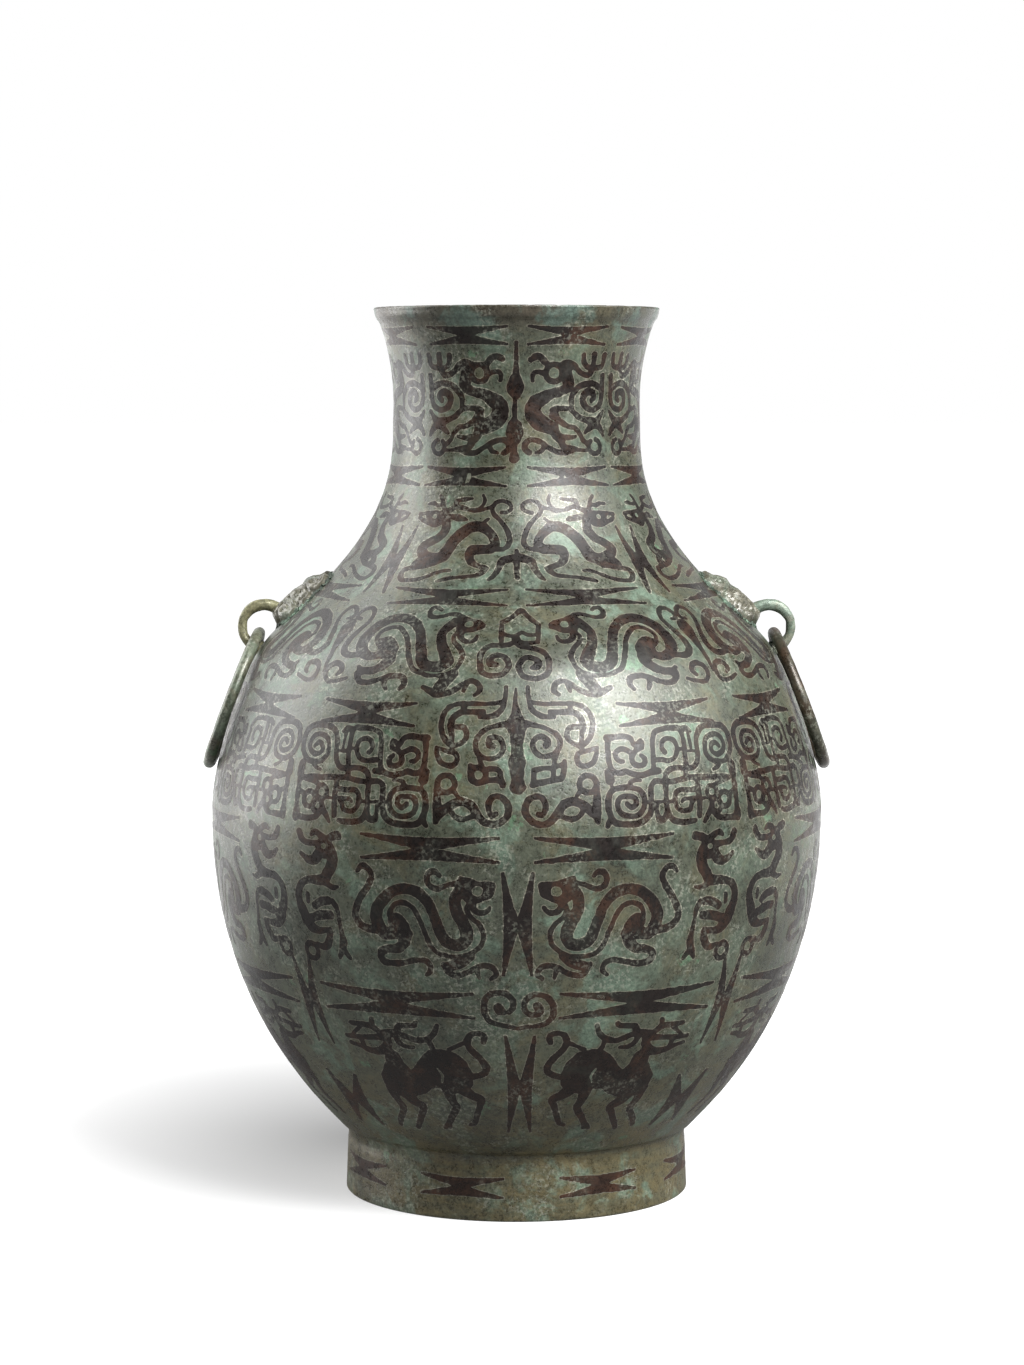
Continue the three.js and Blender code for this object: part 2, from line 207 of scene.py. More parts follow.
def wall_section():
    """The closed section of the casting, from the axis under the floor out, up, over the lip and in."""
    foot_top = FOOT_RADIUS - FOOT_NECKING
    foot_in = FOOT_RADIUS - FOOT_WALL
    floor_top = BASE_HEIGHT - FLOOR_SINK
    under = floor_top - WALL
    lip_in = LIP_RADIUS - LIP_WALL
    outer, _ = along_outline(OUTSIDE_STEPS)
    inner, normals = along_outline(INSIDE_STEPS)
    inner = (inner - WALL * normals)[::-1]
    # Under the sunk floor, down inside the foot ring, round its rim and up its outside
    section = [(0, under), (0.02, under), (0.04, under), (foot_in - 2 * EDGE_ROUND, under)]
    section += [(foot_in, under - 2 * EDGE_ROUND), (foot_in, 0.012), (foot_in, 0.005)]
    section += rounded((foot_in, EDGE_ROUND), (foot_in, 0), (foot_in + EDGE_ROUND, 0), 3)
    section += rounded((FOOT_RADIUS - EDGE_ROUND, 0), (FOOT_RADIUS, 0), (FOOT_RADIUS, EDGE_ROUND), 3)
    rise = np.linspace(EDGE_ROUND, BASE_HEIGHT - FOOT_FILLET, 15)[1:-1]
    section += [(FOOT_RADIUS - FOOT_NECKING * (z / BASE_HEIGHT), z) for z in rise]
    section += rounded((foot_top, BASE_HEIGHT - FOOT_FILLET), (foot_top, BASE_HEIGHT - 0.001),
                       outer[0], 6)[:-1]
    # The wall, the band under the lip, the lip's own edge, and down the inside to the floor
    section += list(outer)
    band = HEIGHT - LIP_BAND
    section += rounded((LIP_RADIUS - 0.0017, band + 0.0012), (LIP_RADIUS - 0.0004, band + 0.0024),
                       (LIP_RADIUS - 0.0002, HEIGHT - 0.0012), 5)
    section += rounded((LIP_RADIUS, HEIGHT - EDGE_ROUND), (LIP_RADIUS, HEIGHT),
                       (LIP_RADIUS - EDGE_ROUND, HEIGHT), 3)
    section += rounded((lip_in + EDGE_ROUND, HEIGHT), (lip_in, HEIGHT), (lip_in, HEIGHT - EDGE_ROUND), 3)
    section += list(inner[1:])
    section += rounded(inner[-1], (0.066, floor_top), (0.045, floor_top), 5)[1:]
    section += [(0.02, floor_top), (0, floor_top)]
    return [(float(r), float(z)) for r, z in section]


def casting_wobble(x, y, z):
    """How far the cast skin departs from a true turning, in metres; nothing at the foot and the lip."""
    place = Vector((x, y, z))
    slow = noise.noise(place * 14 + Vector((3.1, 0.4, 7.7)))
    dents = noise.noise(place * 60 + Vector((1.7, 9.2, 4.4)))
    share = min(1, max(0, (z - 0.001) / 0.01), max(0, (HEIGHT - 0.002 - z) / 0.006))
    return (WAVES * slow + DENTS * dents - SKIN_INSET) * share


section = wall_section()
bpy.ops.object.select_all(action="DESELECT")
bpy.ops.mesh.primitive_circle_add(vertices=len(section), radius=0.1)
vessel = bpy.context.object
vessel.name = "vessel"
for vertex, (radius, height) in zip(vessel.data.vertices, section):
    vertex.co = (radius, 0, height)
bpy.ops.object.mode_set(mode="EDIT")
bpy.ops.mesh.select_mode(type="EDGE")
bpy.ops.mesh.select_all(action="DESELECT")
bpy.ops.object.mode_set(mode="OBJECT")
for edge in vessel.data.edges:
    ends = [vessel.data.vertices[i].co for i in edge.vertices]
    edge.select = all(end.x < 1e-6 for end in ends)
bpy.ops.object.mode_set(mode="EDIT")
bpy.ops.mesh.delete(type="EDGE")
bpy.ops.mesh.select_all(action="SELECT")
bpy.ops.mesh.spin(steps=SPIN_STEPS, angle=2 * math.pi, center=(0, 0, 0), axis=(0, 0, 1))
bpy.ops.mesh.select_all(action="SELECT")
bpy.ops.mesh.remove_doubles(threshold=1e-5)
bpy.ops.mesh.normals_make_consistent(inside=False)
bpy.ops.object.mode_set(mode="OBJECT")
for vertex in vessel.data.vertices:
    x, y, z = vertex.co
    radius = math.hypot(x, y)
    if radius > NEAR_AXIS:
        push = casting_wobble(x, y, z)
        vertex.co.x += push * x / radius
        vertex.co.y += push * y / radius
    if z > HEIGHT - 0.0003:
        nick = noise.noise(Vector((x, y, 0)) * 260) + 0.7 * noise.noise(Vector((x, y, 9)) * 700)
        vertex.co.z -= LIP_NICKS * max(0, nick - 0.05)
bpy.ops.object.shade_smooth_by_angle(angle=math.radians(50))


def srgb(red, green, blue):
    """A colour written as it is seen, 0 to 255."""
    return tuple((v / 255 / 12.92 if v <= 10 else ((v / 255 + 0.055) / 1.055) ** 2.4)
                 for v in (red, green, blue)) + (1.0,)


patina = bpy.data.node_groups.new("patina", "ShaderNodeTree")
for kind, way, fields in (
        ("Color", "INPUT", {"Skin": srgb(84, 84, 74), "Verdigris": srgb(88, 106, 91),
                            "Earth": srgb(86, 79, 55), "Crust": srgb(152, 154, 140)}),
        ("Float", "INPUT", {"Green Amount": 0.6, "Earth Amount": 0.5, "Foot Amount": 0, "Lip Amount": 0,
                            "Crust Amount": 0.4, "Crust Reach": 0, "Pit Amount": 0.5, "Dullness": 0}),
        ("Color", "OUTPUT", {"Color": None}),
        ("Float", "OUTPUT", {"Roughness": None, "Height": None})):
    for name, value in fields.items():
        field = patina.interface.new_socket(name=name, in_out=way, socket_type="NodeSocket" + kind)
        if value is not None:
            field.default_value = value


def between(value, low, high):
    """A soft step from 0 at low to 1 at high."""
    cut = add_node(patina, "MapRange", {"Value": value, "From Min": low, "From Max": high},
                   interpolation_type="SMOOTHSTEP")
    return cut.outputs["Result"]


def mottle(place, scale, detail, low, high, rough, distort=0.0):
    """A noise cut to a soft mask between low and high."""
    grain = add_node(patina, "TexNoise", {"Vector": place, "Scale": scale, "Detail": detail,
                                          "Roughness": rough, "Distortion": distort})
    return between(grain.outputs["Fac"], low, high)


def product(value, *factors):
    """A socket's value times numbers or other sockets."""
    for factor in factors:
        value = add_node(patina, "Math", {0: value, 1: factor}, operation="MULTIPLY").outputs[0]
    return value


def total(base, *terms):
    """A base number plus sockets, each times its own number or socket."""
    for value, factor in terms:
        base = add_node(patina, "Math", {0: value, 1: factor, 2: base}, operation="MULTIPLY_ADD").outputs[0]
    return base


def held(value):
    """A value clamped between 0 and 1."""
    return add_node(patina, "Clamp", {"Value": value}).outputs["Result"]


def laid_over(under, over, mask):
    """The colour over on the colour under, as far as the mask says."""
    return add_node(patina, "Mix", {0: mask, 6: under, 7: over}, data_type="RGBA").outputs[2]


# Where the foot's soil and the lip's dull crust begin and where they are full, by height
FOOT_SOIL = (0.09, 0.018)
LIP_SOIL = (0.334, 0.346)

given = patina.nodes.new("NodeGroupInput").outputs
place = add_node(patina, "TexCoord").outputs["Object"]
height = add_node(patina, "SeparateXYZ", {0: place}).outputs["Z"]
flattened = add_node(patina, "VectorMath", {0: place, 1: (1, 1, 5)}, operation="MULTIPLY").outputs[0]
# Each noise by its scale, detail, the cut's two ends and roughness
clouds = mottle(place, 60, 8, 0.49, 0.60, 0.62, 0.4)
regions = mottle(place, 13, 4, 0.40, 0.60, 0.6)
drifts = mottle(place, 34, 12, 0.47, 0.62, 0.8, 0.8)
blots = mottle(place, 260, 7, 0.38, 0.62, 0.7)
grain = mottle(place, 1000, 4, 0.36, 0.64, 0.7)
shade = mottle(place, 22, 8, 0.36, 0.64, 0.6)
clusters = mottle(place, 58, 5, 0.46, 0.62, 0.6)
grit = mottle(place, 700, 5, 0.50, 0.60, 0.65)
sprouts = mottle(place, 72, 6, 0.65, 0.69, 0.6)
pits = mottle(place, 900, 2, 0.66, 0.72, 0.5)
streaks = mottle(flattened, 60, 6, 0.38, 0.60, 0.65)
foot = product(between(height, *FOOT_SOIL), given["Foot Amount"])
rim = product(between(height, *LIP_SOIL), given["Lip Amount"])
soil = held(total(0, (foot, total(0.5, (streaks, 0.5))), (drifts, given["Earth Amount"])))
green = product(clouds, total(0.35, (regions, 0.65)), given["Green Amount"])
crust = product(held(total(0, (clusters, 1), (given["Crust Reach"], 1))),
                held(total(0, (grit, 1), (given["Crust Reach"], 0.5))), given["Crust Amount"])
# The bare skin, then what has grown on it: soil, green patches, sprouts, the lip's crust, seams' crust, pits
colour = laid_over(given["Skin"], given["Earth"], soil)
colour = laid_over(colour, given["Verdigris"], green)
colour = laid_over(colour, srgb(78, 104, 80), product(sprouts, given["Green Amount"]))
colour = laid_over(colour, srgb(58, 49, 40), product(shade, rim))
colour = laid_over(colour, srgb(88, 110, 102), product(clouds, product(rim, 0.6)))
tone = total(0.3, (blots, 0.45), (grain, 0.5), (shade, 0.45))
colour = add_node(patina, "HueSaturation", {"Value": tone, "Color": colour}).outputs["Color"]
colour = laid_over(colour, given["Crust"], crust)
colour = laid_over(colour, srgb(26, 26, 22), product(pits, given["Pit Amount"]))
rough = total(0.23, (blots, 0.12), (grain, 0.08), (clouds, 0.08), (given["Dullness"], 1))
raised_by = total(0, (blots, 0.5), (grain, 0.4), (pits, -1))
shown = patina.nodes.new("NodeGroupOutput").inputs
for name, value in (("Color", colour), ("Roughness", rough), ("Height", raised_by)):
    patina.links.new(value, shown[name])

PIT_DEPTH = 0.0002


def patina_material(name, skin, green, soil, metallic, bump, specular=0.65, **more):
    """A bronze whose whole colour comes from the patina group."""
    made = bpy.data.materials.new(name)
    made.use_nodes = True
    tree = made.node_tree
    amounts = {"Skin": skin, "Green Amount": green, "Earth Amount": soil}
    amounts.update({field.replace("_", " ").title(): value for field, value in more.items()})
    cover = add_node(tree, "Group", amounts, node_tree=patina).outputs
    relief = add_node(tree, "Bump", {"Strength": bump, "Distance": PIT_DEPTH, "Height": cover["Height"]})
    shader = tree.nodes["Principled BSDF"]
    shader.inputs["Metallic"].default_value = metallic
    shader.inputs["Specular IOR Level"].default_value = specular
    for field, source in (("Base Color", cover["Color"]), ("Roughness", cover["Roughness"]),
                          ("Normal", relief.outputs["Normal"])):
        tree.links.new(source, shader.inputs[field])
    return made


jar_bronze = patina_material("jar_patina", srgb(66, 70, 58), 0.75, 0.45, 0.2, 0.35, foot_amount=0.9,
                             lip_amount=0.8)
vessel.data.materials.append(jar_bronze)
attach(vessel, "jar")
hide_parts("vessel_body")

# The inlays: strips of sheet copper hammered into shallow beds cast in the wall, then ground flush.
# They lie in bands from lip to foot, the same on all four sides, each side a mirrored pair of figures.
# Figures are drawn flat in mm: across the wall from the figure's centre line, and up along the wall.
# The drawing grid's spacing, the most it measures and the room it leaves round a figure, in mm
GRAIN = 0.35
FAR = 9.0
MARGIN = 5
# How far the copper and its seam stand out of the wall, and how far both reach into it, in metres
INLAY_PROUD = 0.00007
SEAM_PROUD = 0.00003
INLAY_DEPTH = 0.0003
# In mm: the copper's growth past its drawn edge, the seam past the copper, the points inside a figure
STROKE_GROWTH = 0.22
SEAM_WIDTH = 0.29
INNER_STEP = 3.0
# The raggedness of the edges in mm, from so many waves, the shortest and the longest
EDGE_WEAR = 0.035
EDGE_WAVES = (14, 1.6, 7)

# The wall's own line from the foot's rim to the lip, its length along the way and its outward normals
GAUGE_STEPS = (400, 240, 320, 160)
fine, _ = along_outline(GAUGE_STEPS)
foot_line = np.array([(FOOT_RADIUS - FOOT_NECKING * min(z / BASE_HEIGHT, 1), z)
                      for z in np.linspace(0, BASE_HEIGHT - 0.0005, 40)])
wall_line = np.vstack([foot_line, fine])
wall_arc = np.concatenate([[0], np.cumsum(np.hypot(*np.diff(wall_line, axis=0).T))])
wall_run = np.gradient(wall_line, axis=0)
wall_out = np.stack([wall_run[:, 1], -wall_run[:, 0]], axis=1)
wall_out /= np.linalg.norm(wall_out, axis=1)[:, None]


def numbers(text):
    """Reads "1 2, 3 4" as pairs, and "1 2*3" as plain numbers, here 1 and three times 2."""
    if "," in text:
        return [tuple(map(float, pair.split())) for pair in text.split(",")]
    words = [word.partition("*") for word in text.split()]
    return [float(value) for value, _, times in words for _ in range(int(times or 1))]


def drawn(points, widths, step=0.8):
    """A smooth line through the points with its half-width, as rows of x, y, half-width."""
    points = np.array(numbers(points) if isinstance(points, str) else points)
    widths = np.array(numbers(widths) if isinstance(widths, str) else [widths])
    knots = np.linspace(0, 1, len(points))
    half = np.interp(knots, np.linspace(0, 1, len(widths)), widths / 2)
    padded = np.vstack([2 * points[0] - points[1], points, 2 * points[-1] - points[-2]])
    rows = []
    for k in range(len(points) - 1):
        a, b, c, d = padded[k:k + 4]
        count = max(1, int(np.hypot(*(c - b)) / step))
        for t in np.arange(count) / count:
            place = 0.5 * (2 * b + (c - a) * t + (2 * a - 5 * b + 4 * c - d) * t * t
                           + (3 * b - a - 3 * c + d) * t ** 3)
            rows.append((*place, half[k] + (half[k + 1] - half[k]) * t))
    rows.append((*points[-1], half[-1]))
    return np.array(rows)


def ring(x, y, radius, width, start=0, sweep=360):
    """A round strip, whole or open."""
    turns = np.radians(start + np.linspace(0, sweep, max(5, int(abs(sweep) / 30) + 1)))
    return drawn(np.stack([x + radius * np.cos(turns), y + radius * np.sin(turns)], axis=1), width)


def hourglass(x0, x1, y0, y1, waist=3.0, upright=False):
    """A figure of two long blades that bow toward each other and join at the waist."""
    if upright:
        x0, x1, y0, y1 = y0, y1, x0, x1
    middle, centre, half = (x0 + x1) / 2, (y0 + y1) / 2, (y1 - y0) / 2
    share = np.linspace(0, 1, 9)
    gap = half * 0.86 * share ** 0.92
    edge = half * (0.84 + 0.16 * share ** 1.6)
    solid = (waist + 0.05 * (x1 - x0)) / 2
    reach = solid + share * ((x1 - x0) / 2 - solid)
    outlines = []
    for side in (1, -1):
        right_out = [(middle + s * (x1 - middle), centre + side * e) for s, e in zip(share, edge)]
        right_in = [(middle + r, centre + side * g) for r, g in zip(reach, gap)][::-1]
        left_out = [(2 * middle - x, y) for x, y in right_out][::-1]
        left_in = [(2 * middle - x, y) for x, y in right_in][::-1]
        outline = np.array(right_out[1:] + right_in + left_in + left_out[:-1] + [right_out[0]])
        outlines.append(outline[:, ::-1] if upright else outline)
    return Figure(fills=outlines)


def from_line(x, y, start, end):
    """How far points are from a straight line, and how far along it, 0 to 1, they are nearest."""
    (ax, ay), (bx, by) = start, end
    run = (bx - ax) ** 2 + (by - ay) ** 2 + 1e-9
    t = np.clip(((x - ax) * (bx - ax) + (y - ay) * (by - ay)) / run, 0, 1)
    return np.hypot(x - ax - t * (bx - ax), y - ay - t * (by - ay)), t


def within(x, y, outline):
    """Which points lie inside a closed outline."""
    inside = np.zeros(x.shape, bool)
    for (ax, ay), (bx, by) in zip(outline, np.roll(outline, -1, axis=0)):
        if ay != by:
            crossed = (y >= min(ay, by)) & (y < max(ay, by))
            inside ^= crossed & (x < ax + (y - ay) / (by - ay) * (bx - ax))
    return inside


class Figure:
    """A flat drawing kept as the distance to its edge on a fine grid, negative inside.

    Its text has rows parted by semicolons: a strip's points and widths, parted by a colon, "cut" and
    such a strip, "ring" and a ring's numbers, or the points of a filled outline.
    """

    def __init__(self, text="", fills=()):
        strips, cuts, fills = [], [], list(fills)
        for row in filter(str.strip, text.split(";")):
            word, rest = row.split(None, 1)
            line, _, widths = row.partition(":")
            if word == "ring":
                strips.append(ring(*numbers(rest)))
            elif word == "cut":
                cuts.append(drawn(*rest.split(":")))
            elif widths:
                strips.append(drawn(line, widths))
            else:
                fills.append(np.array(numbers(line)))
        reach = np.vstack([s[:, :2] for s in strips] + [f[:, :2] for f in fills])
        low, high = reach.min(axis=0) - MARGIN, reach.max(axis=0) + MARGIN
        self.xs, self.ys = (np.arange(low[k], high[k], GRAIN) for k in (0, 1))
        self.depth = np.full((len(self.ys), len(self.xs)), FAR)
        for strip in strips:
            self.add_strip(strip, self.depth)
        for fill in fills:
            np.minimum(self.depth, self.outline_depth(fill), out=self.depth)
        holes = np.full_like(self.depth, FAR)
        for cut in cuts:
            self.add_strip(cut, holes)
        np.maximum(self.depth, -holes, out=self.depth)

    def add_strip(self, strip, field):
        """Lowers the field to the distance from the strip's edge, one short stretch at a time."""
        for (ax, ay, ar), (bx, by, br) in zip(strip[:-1], strip[1:]):
            wide = max(ar, br) + 1.5
            i0, i1 = np.searchsorted(self.xs, (min(ax, bx) - wide, max(ax, bx) + wide))
            j0, j1 = np.searchsorted(self.ys, (min(ay, by) - wide, max(ay, by) + wide))
            gone, t = from_line(*np.meshgrid(self.xs[i0:i1], self.ys[j0:j1]), (ax, ay), (bx, by))
            gone = gone - (ar + t * (br - ar))
            np.minimum(field[j0:j1, i0:i1], gone, out=field[j0:j1, i0:i1])

    def outline_depth(self, outline):
        """Signed distance from a closed outline."""
        gx, gy = np.meshgrid(self.xs, self.ys)
        near = np.full(gx.shape, FAR)
        for start, end in zip(outline, np.roll(outline, -1, axis=0)):
            np.minimum(near, from_line(gx, gy, start, end)[0], out=near)
        return np.where(within(gx, gy, outline), -near, near)


def thinned(points, slack=0.035, longest=2.6):
    """Smooths a closed loop and leaves out the points that a straight edge passes within the slack."""
    loop = np.array(points)
    loop = 0.5 * loop + 0.25 * (np.roll(loop, 1, 0) + np.roll(loop, -1, 0))
    points = [tuple(p) for p in loop]
    kept, at, count = [], 0, len(points)
    while at < count:
        kept.append(points[at])
        ax, ay = points[at]
        step = 1
        while at + step + 1 < count:
            bx, by = points[at + step + 1]
            run = math.hypot(bx - ax, by - ay)
            if run > longest or run < 1e-6:
                break
            far = max(abs((bx - ax) * (points[k][1] - ay) - (by - ay) * (points[k][0] - ax)) / run
                      for k in range(at + 1, at + step + 1))
            if far > slack:
                break
            step += 1
        at += step
    return kept


def edge_loops(field, xs, ys):
    """Closed loops where the field passes zero, thinned where they run straight."""
    inside = field < 0
    inside[[0, -1], :] = False
    inside[:, [0, -1]] = False
    links = {}

    def crossing(way, j, i):
        dj, di = int(way == "v"), int(way == "h")
        a, b = field[j, i], field[j + dj, i + di]
        t = min(max(a / (a - b) if a != b else 0.5, 0.02), 0.98)
        return (xs[i] + t * di * GRAIN, ys[j] + t * dj * GRAIN)

    here = inside[:-1, :-1]
    mixed = (here != inside[1:, :-1]) | (here != inside[:-1, 1:]) | (here != inside[1:, 1:])
    for j, i in zip(*np.nonzero(mixed)):
        corners = (inside[j, i], inside[j, i + 1], inside[j + 1, i + 1], inside[j + 1, i])
        sides = (("h", j, i), ("v", j, i + 1), ("h", j + 1, i), ("v", j, i))
        cuts = [sides[k] for k in range(4) if corners[k] != corners[(k + 1) % 4]]
        if len(cuts) == 4 and corners[0]:
            cuts = cuts[1:] + cuts[:1]
        for a, b in zip(cuts[::2], cuts[1::2]):
            links.setdefault(a, []).append(b)
            links.setdefault(b, []).append(a)
    loops, seen = [], set()
    for start in links:
        chain, here, before = [], start, None
        while here is not None and here not in seen:
            seen.add(here)
            chain.append(here)
            onward = [n for n in links[here] if n != before and n not in seen]
            before, here = here, onward[0] if onward else None
        if len(chain) > 8:
            loops.append(thinned([crossing(*cut) for cut in chain]))
    return [loop for loop in loops if len(loop) > 3]


def filled(field, xs, ys, inner=INNER_STEP):
    """Triangles over the inside of the field, with points inside it about the inner step apart."""
    loops = edge_loops(field, xs, ys)
    points, edges = [], []
    for loop in loops:
        border = list(range(len(points), len(points) + len(loop)))
        points += loop
        edges += list(zip(border, border[1:] + border[:1]))
    skip = max(1, int(inner / GRAIN))
    j, i = np.nonzero(field[::skip, ::skip] < -min(0.9, 0.7 * inner))
    points += [(xs[a * skip], ys[b * skip]) for a, b in zip(i, j)]
    made = geometry.delaunay_2d_cdt([Vector(p) for p in points], edges, [], 0, 1e-5)
    flat = np.array([tuple(v) for v in made[0]])
    corners = np.array(made[2])
    centres = flat[corners].mean(axis=1)
    inside = np.zeros(len(centres), bool)
    for loop in loops:
        inside ^= within(centres[:, 0], centres[:, 1], np.array(loop))
    used, corners = np.unique(corners[inside], return_inverse=True)
    return flat[used], corners.reshape(-1, 3)


def border_edges(corners):
    """The edges that only one triangle has, in its own direction."""
    edges = np.concatenate([corners[:, [0, 1]], corners[:, [1, 2]], corners[:, [2, 0]]])
    keys = {tuple(edge) for edge in edges.tolist()}
    return [(a, b) for a, b in keys if (b, a) not in keys]


def on_wall(x, arc, radius, angle, side, proud):
    """Points of the wall, x mm to the viewer's right of the angle at the band's own radius."""
    turn = math.radians(angle) + side * x / radius
    metres = np.clip(arc / 1000, 0, wall_arc[-1])
    place, out = (np.stack([np.interp(metres, wall_arc, line[:, k]) for k in (0, 1)], axis=1)
                  for line in (wall_line, wall_out))
    flat = np.stack([place[:, 0] * np.sin(turn), -place[:, 0] * np.cos(turn), place[:, 1]], axis=1)
    push = np.array([casting_wobble(*p) for p in flat])
    place = place + out * proud + np.stack([push, 0 * push], axis=1)
    return np.stack([place[:, 0] * np.sin(turn), -place[:, 0] * np.cos(turn), place[:, 1]], axis=1)


def uneven(gx, gy, luck, waves, shortest, longest):
    """A random unevenness over a grid, the sum of so many waves."""
    field = np.zeros_like(gx)
    for _ in range(waves):
        way, wave = luck.uniform(0, 2 * math.pi), luck.uniform(shortest, longest)
        field += np.cos((gx * math.cos(way) + gy * math.sin(way)) * 2 * math.pi / wave
                        + luck.uniform(0, 2 * math.pi))
    return field


def pick(piece):
    """Selects one piece alone and makes it the active one."""
    bpy.ops.object.select_all(action="DESELECT")
    piece.select_set(True)
    bpy.context.view_layer.objects.active = piece


def on_jar(name, places, faces, smooth, material):
    """A piece made of corners and faces that are worked out on the wall, fixed to the jar."""
    mesh = bpy.data.meshes.new(name)
    mesh.from_pydata(np.concatenate(places).tolist(), [], faces)
    piece = bpy.data.objects.new(name, mesh)
    bpy.context.scene.collection.objects.link(piece)
    pick(piece)
    bpy.ops.object.shade_smooth_by_angle(angle=math.radians(smooth))
    mesh.materials.append(material)
    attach(piece, "jar")
    return piece


inlay_copper = patina_material("inlay_copper", srgb(24, 19, 17), 0.05, 0.55, 0.05, 0.25, specular=0.35,
                               earth=srgb(62, 41, 29), crust_amount=0.25, foot_amount=0.45)
seam_crust = patina_material("seam_crust", srgb(92, 90, 78), 0.5, 0.4, 0.2, 0.3, crust=srgb(160, 158, 142),
                             crust_amount=0.95, crust_reach=0.22)


def lay_band(number, arc, radius, laid):
    """A band's inlays as one piece and the crust in their seams as another, lower one.

    Each row laid is a figure, the angles where it stands and whether it is mirrored there too.
    """
    luck = np.random.default_rng(number)
    parts = {"inlay": ([], []), "seam": ([], [])}
    places = [(figure, angle, side) for figure, angles, mirrored in laid for angle in angles
              for side in ((1, -1) if mirrored else (1,))]
    for figure, angle, side in places:
        worn = EDGE_WEAR * uneven(*np.meshgrid(figure.xs, figure.ys), luck, *EDGE_WAVES)
        for kind, grow, proud in (("inlay", STROKE_GROWTH, INLAY_PROUD),
                                  ("seam", STROKE_GROWTH + SEAM_WIDTH, SEAM_PROUD)):
            flat, corners = filled(figure.depth + worn - grow, figure.xs, figure.ys)
            points, faces = parts[kind]
            first, count = sum(map(len, points)), len(flat)
            points += [on_wall(flat[:, 0], arc + flat[:, 1], radius, angle, side, height)
                       for height in (proud, -INLAY_DEPTH)]
            made = corners.tolist() + [(b, a, a + count, b + count) for a, b in border_edges(corners)]
            faces += [tuple(first + corner for corner in face)[::side] for face in made]
    for kind, (points, faces) in parts.items():
        material, slot = {"inlay": (inlay_copper, "copper_inlay"), "seam": (seam_crust, "jar_bronze")}[kind]
        on_jar(f"{kind}_{number:02d}", points, faces, 40, material)


SIDES = (0, 90, 180, 270)
CORNERS = (45, 135, 225, 315)


def mirrored_at(offset):
    """The angles at an offset to the right and to the left of each side's centre line."""
    return [side + turn for side in SIDES for turn in (offset, 90 - offset)]


# Band 1, under the lip: eight hourglasses of two blades each, end to end.
lay_band(1, 376.9, 52.9, [
    (hourglass(-17, 17, -3.8, 3.8), (23, 67.5, 113, 158, 203, 247, 293, 338), False),
])

# Band 2, on the neck: pairs of birds with spiral wings and combed crests, and a beaded pendant between.
pendant = Figure("""
    -0.1 24.5, -0.2 20, -0.3 15, -0.4 11: 1 1.1 1.5 2.8;
    -0.4 10, -0.5 7.3, -0.5 5: 4.6 6.3 4.2;
    -0.5 5, -0.8 1, -0.8 -4, -0.8 -6.5: 1.5 1.4 1.7 3.6;
    -0.8 -7.5, -0.8 -10, -0.9 -12.5: 5.2 6.4 4.4;
    -1 -13, -1 -17, -1 -19.6: 2.3 2.2 3.8
""")
bird = Figure("""
    5.2 17.9, 6.6 19, 8.6 19.1, 10.5 17.4, 12 15.6, 13.6 15.9: 1.7 2.2 2.2 2.1 2 1.5;
    ring 14.4 12.8 3.3 1.9;
    6.2 9.9, 6 12, 7.3 13.3, 9.5 13, 11.4 12: 1.1 1.4 1.5 1.7 1.9;
    18 15.8, 20 16.5, 22.5 15.6, 24.4 13.6, 27 12, 29.4 12, 30.4 13.5, 31 15: 3 3 2.3 1.8 1.8 2*3;
    26.3 19.6, 26.7 16.6, 28.5 15, 31 14.8, 34 15, 35.5 16, 36 19.9: 1.8;
    31 15, 31 19.9: 2.1;
    19 15.5, 19.5 12, 20.5 9, 20 7, 17 5.7, 13 4.7, 10 3, 7 1, 6.2 -2, 7.5 -5, 10.5 -7, 14 -8.4: 4.6 4.6
        4.4 3.6 3.2 3.8 4.8 5.6 6 6.2 5.6 4.8;
    14 -8, 15.5 -11, 17.5 -13.5, 18.6 -15.5, 21 -16.3, 24 -16.3: 4 3.4 2.6 2.3 2.6 1.4;
    16 -11.5, 20 -12, 23.4 -11.5: 2.3 1.9 1;
    14 -1.6, 15.5 -0.8, 18 -0.7, 21 -1, 23 -2.3, 25 -4, 27.5 -5: 2.4 2 1.7 1.6 1.8 2 2;
    14.4 -1.5, 14.6 -3.4: 2.6 3.6;
    14.6 -3, 16 -5, 18 -6.5, 20.5 -7.7, 23 -8, 25 -10, 26.5 -12.5, 28.5 -14.5: 2.4 2.2 2 1.7 1.6 1.5 1.5
        1.6;
    36 11.8, 36 7, 35.9 3, 34.5 0, 31.5 -1.4, 28.5 -0.5, 26.8 2, 27.4 4.6, 29.4 5.6, 31.6 4.9, 32 3.2,
        30.8 2.2: 2*5 2.1 2.4 2.6 2.6 2.4 2.2 1.6;
    21.8 -0.6, 21.8 3.4, 23.5 6, 26 8, 29 8.8, 32 8.6, 35.6 6.6: 1.5 1.9 2 2.1 2.1 2 2;
    26.8 -4.8, 30 -5.7, 33 -5.9, 35 -4, 36.6 -1.9: 1.4 3 3 2 1;
    27.8 -10.1, 30 -8.3, 33 -7, 35.5 -9, 36.6 -11: 1 2.2 3 2 1;
    ring 32.2 -15.5 2.8 1.5 -230 310;
    24 -16.6, 28 -16.8, 29.6 -16.6: 1;
    4.8 -17.6, 3.3 -16.5, 3 -14.5, 4.5 -12.8, 7 -12.8, 10 -14, 13 -16, 16 -17.5, 19 -17.8, 22 -17: 2*3 1.8
        1.7 1.6 1.6 1.7 1.8 1.2;
    10.5 -15.2, 9.5 -17, 7.4 -17.7: 1.5 1.4 1
""")
lay_band(2, 349.5, 48.9, [(pendant, SIDES, False), (bird, SIDES, True)])

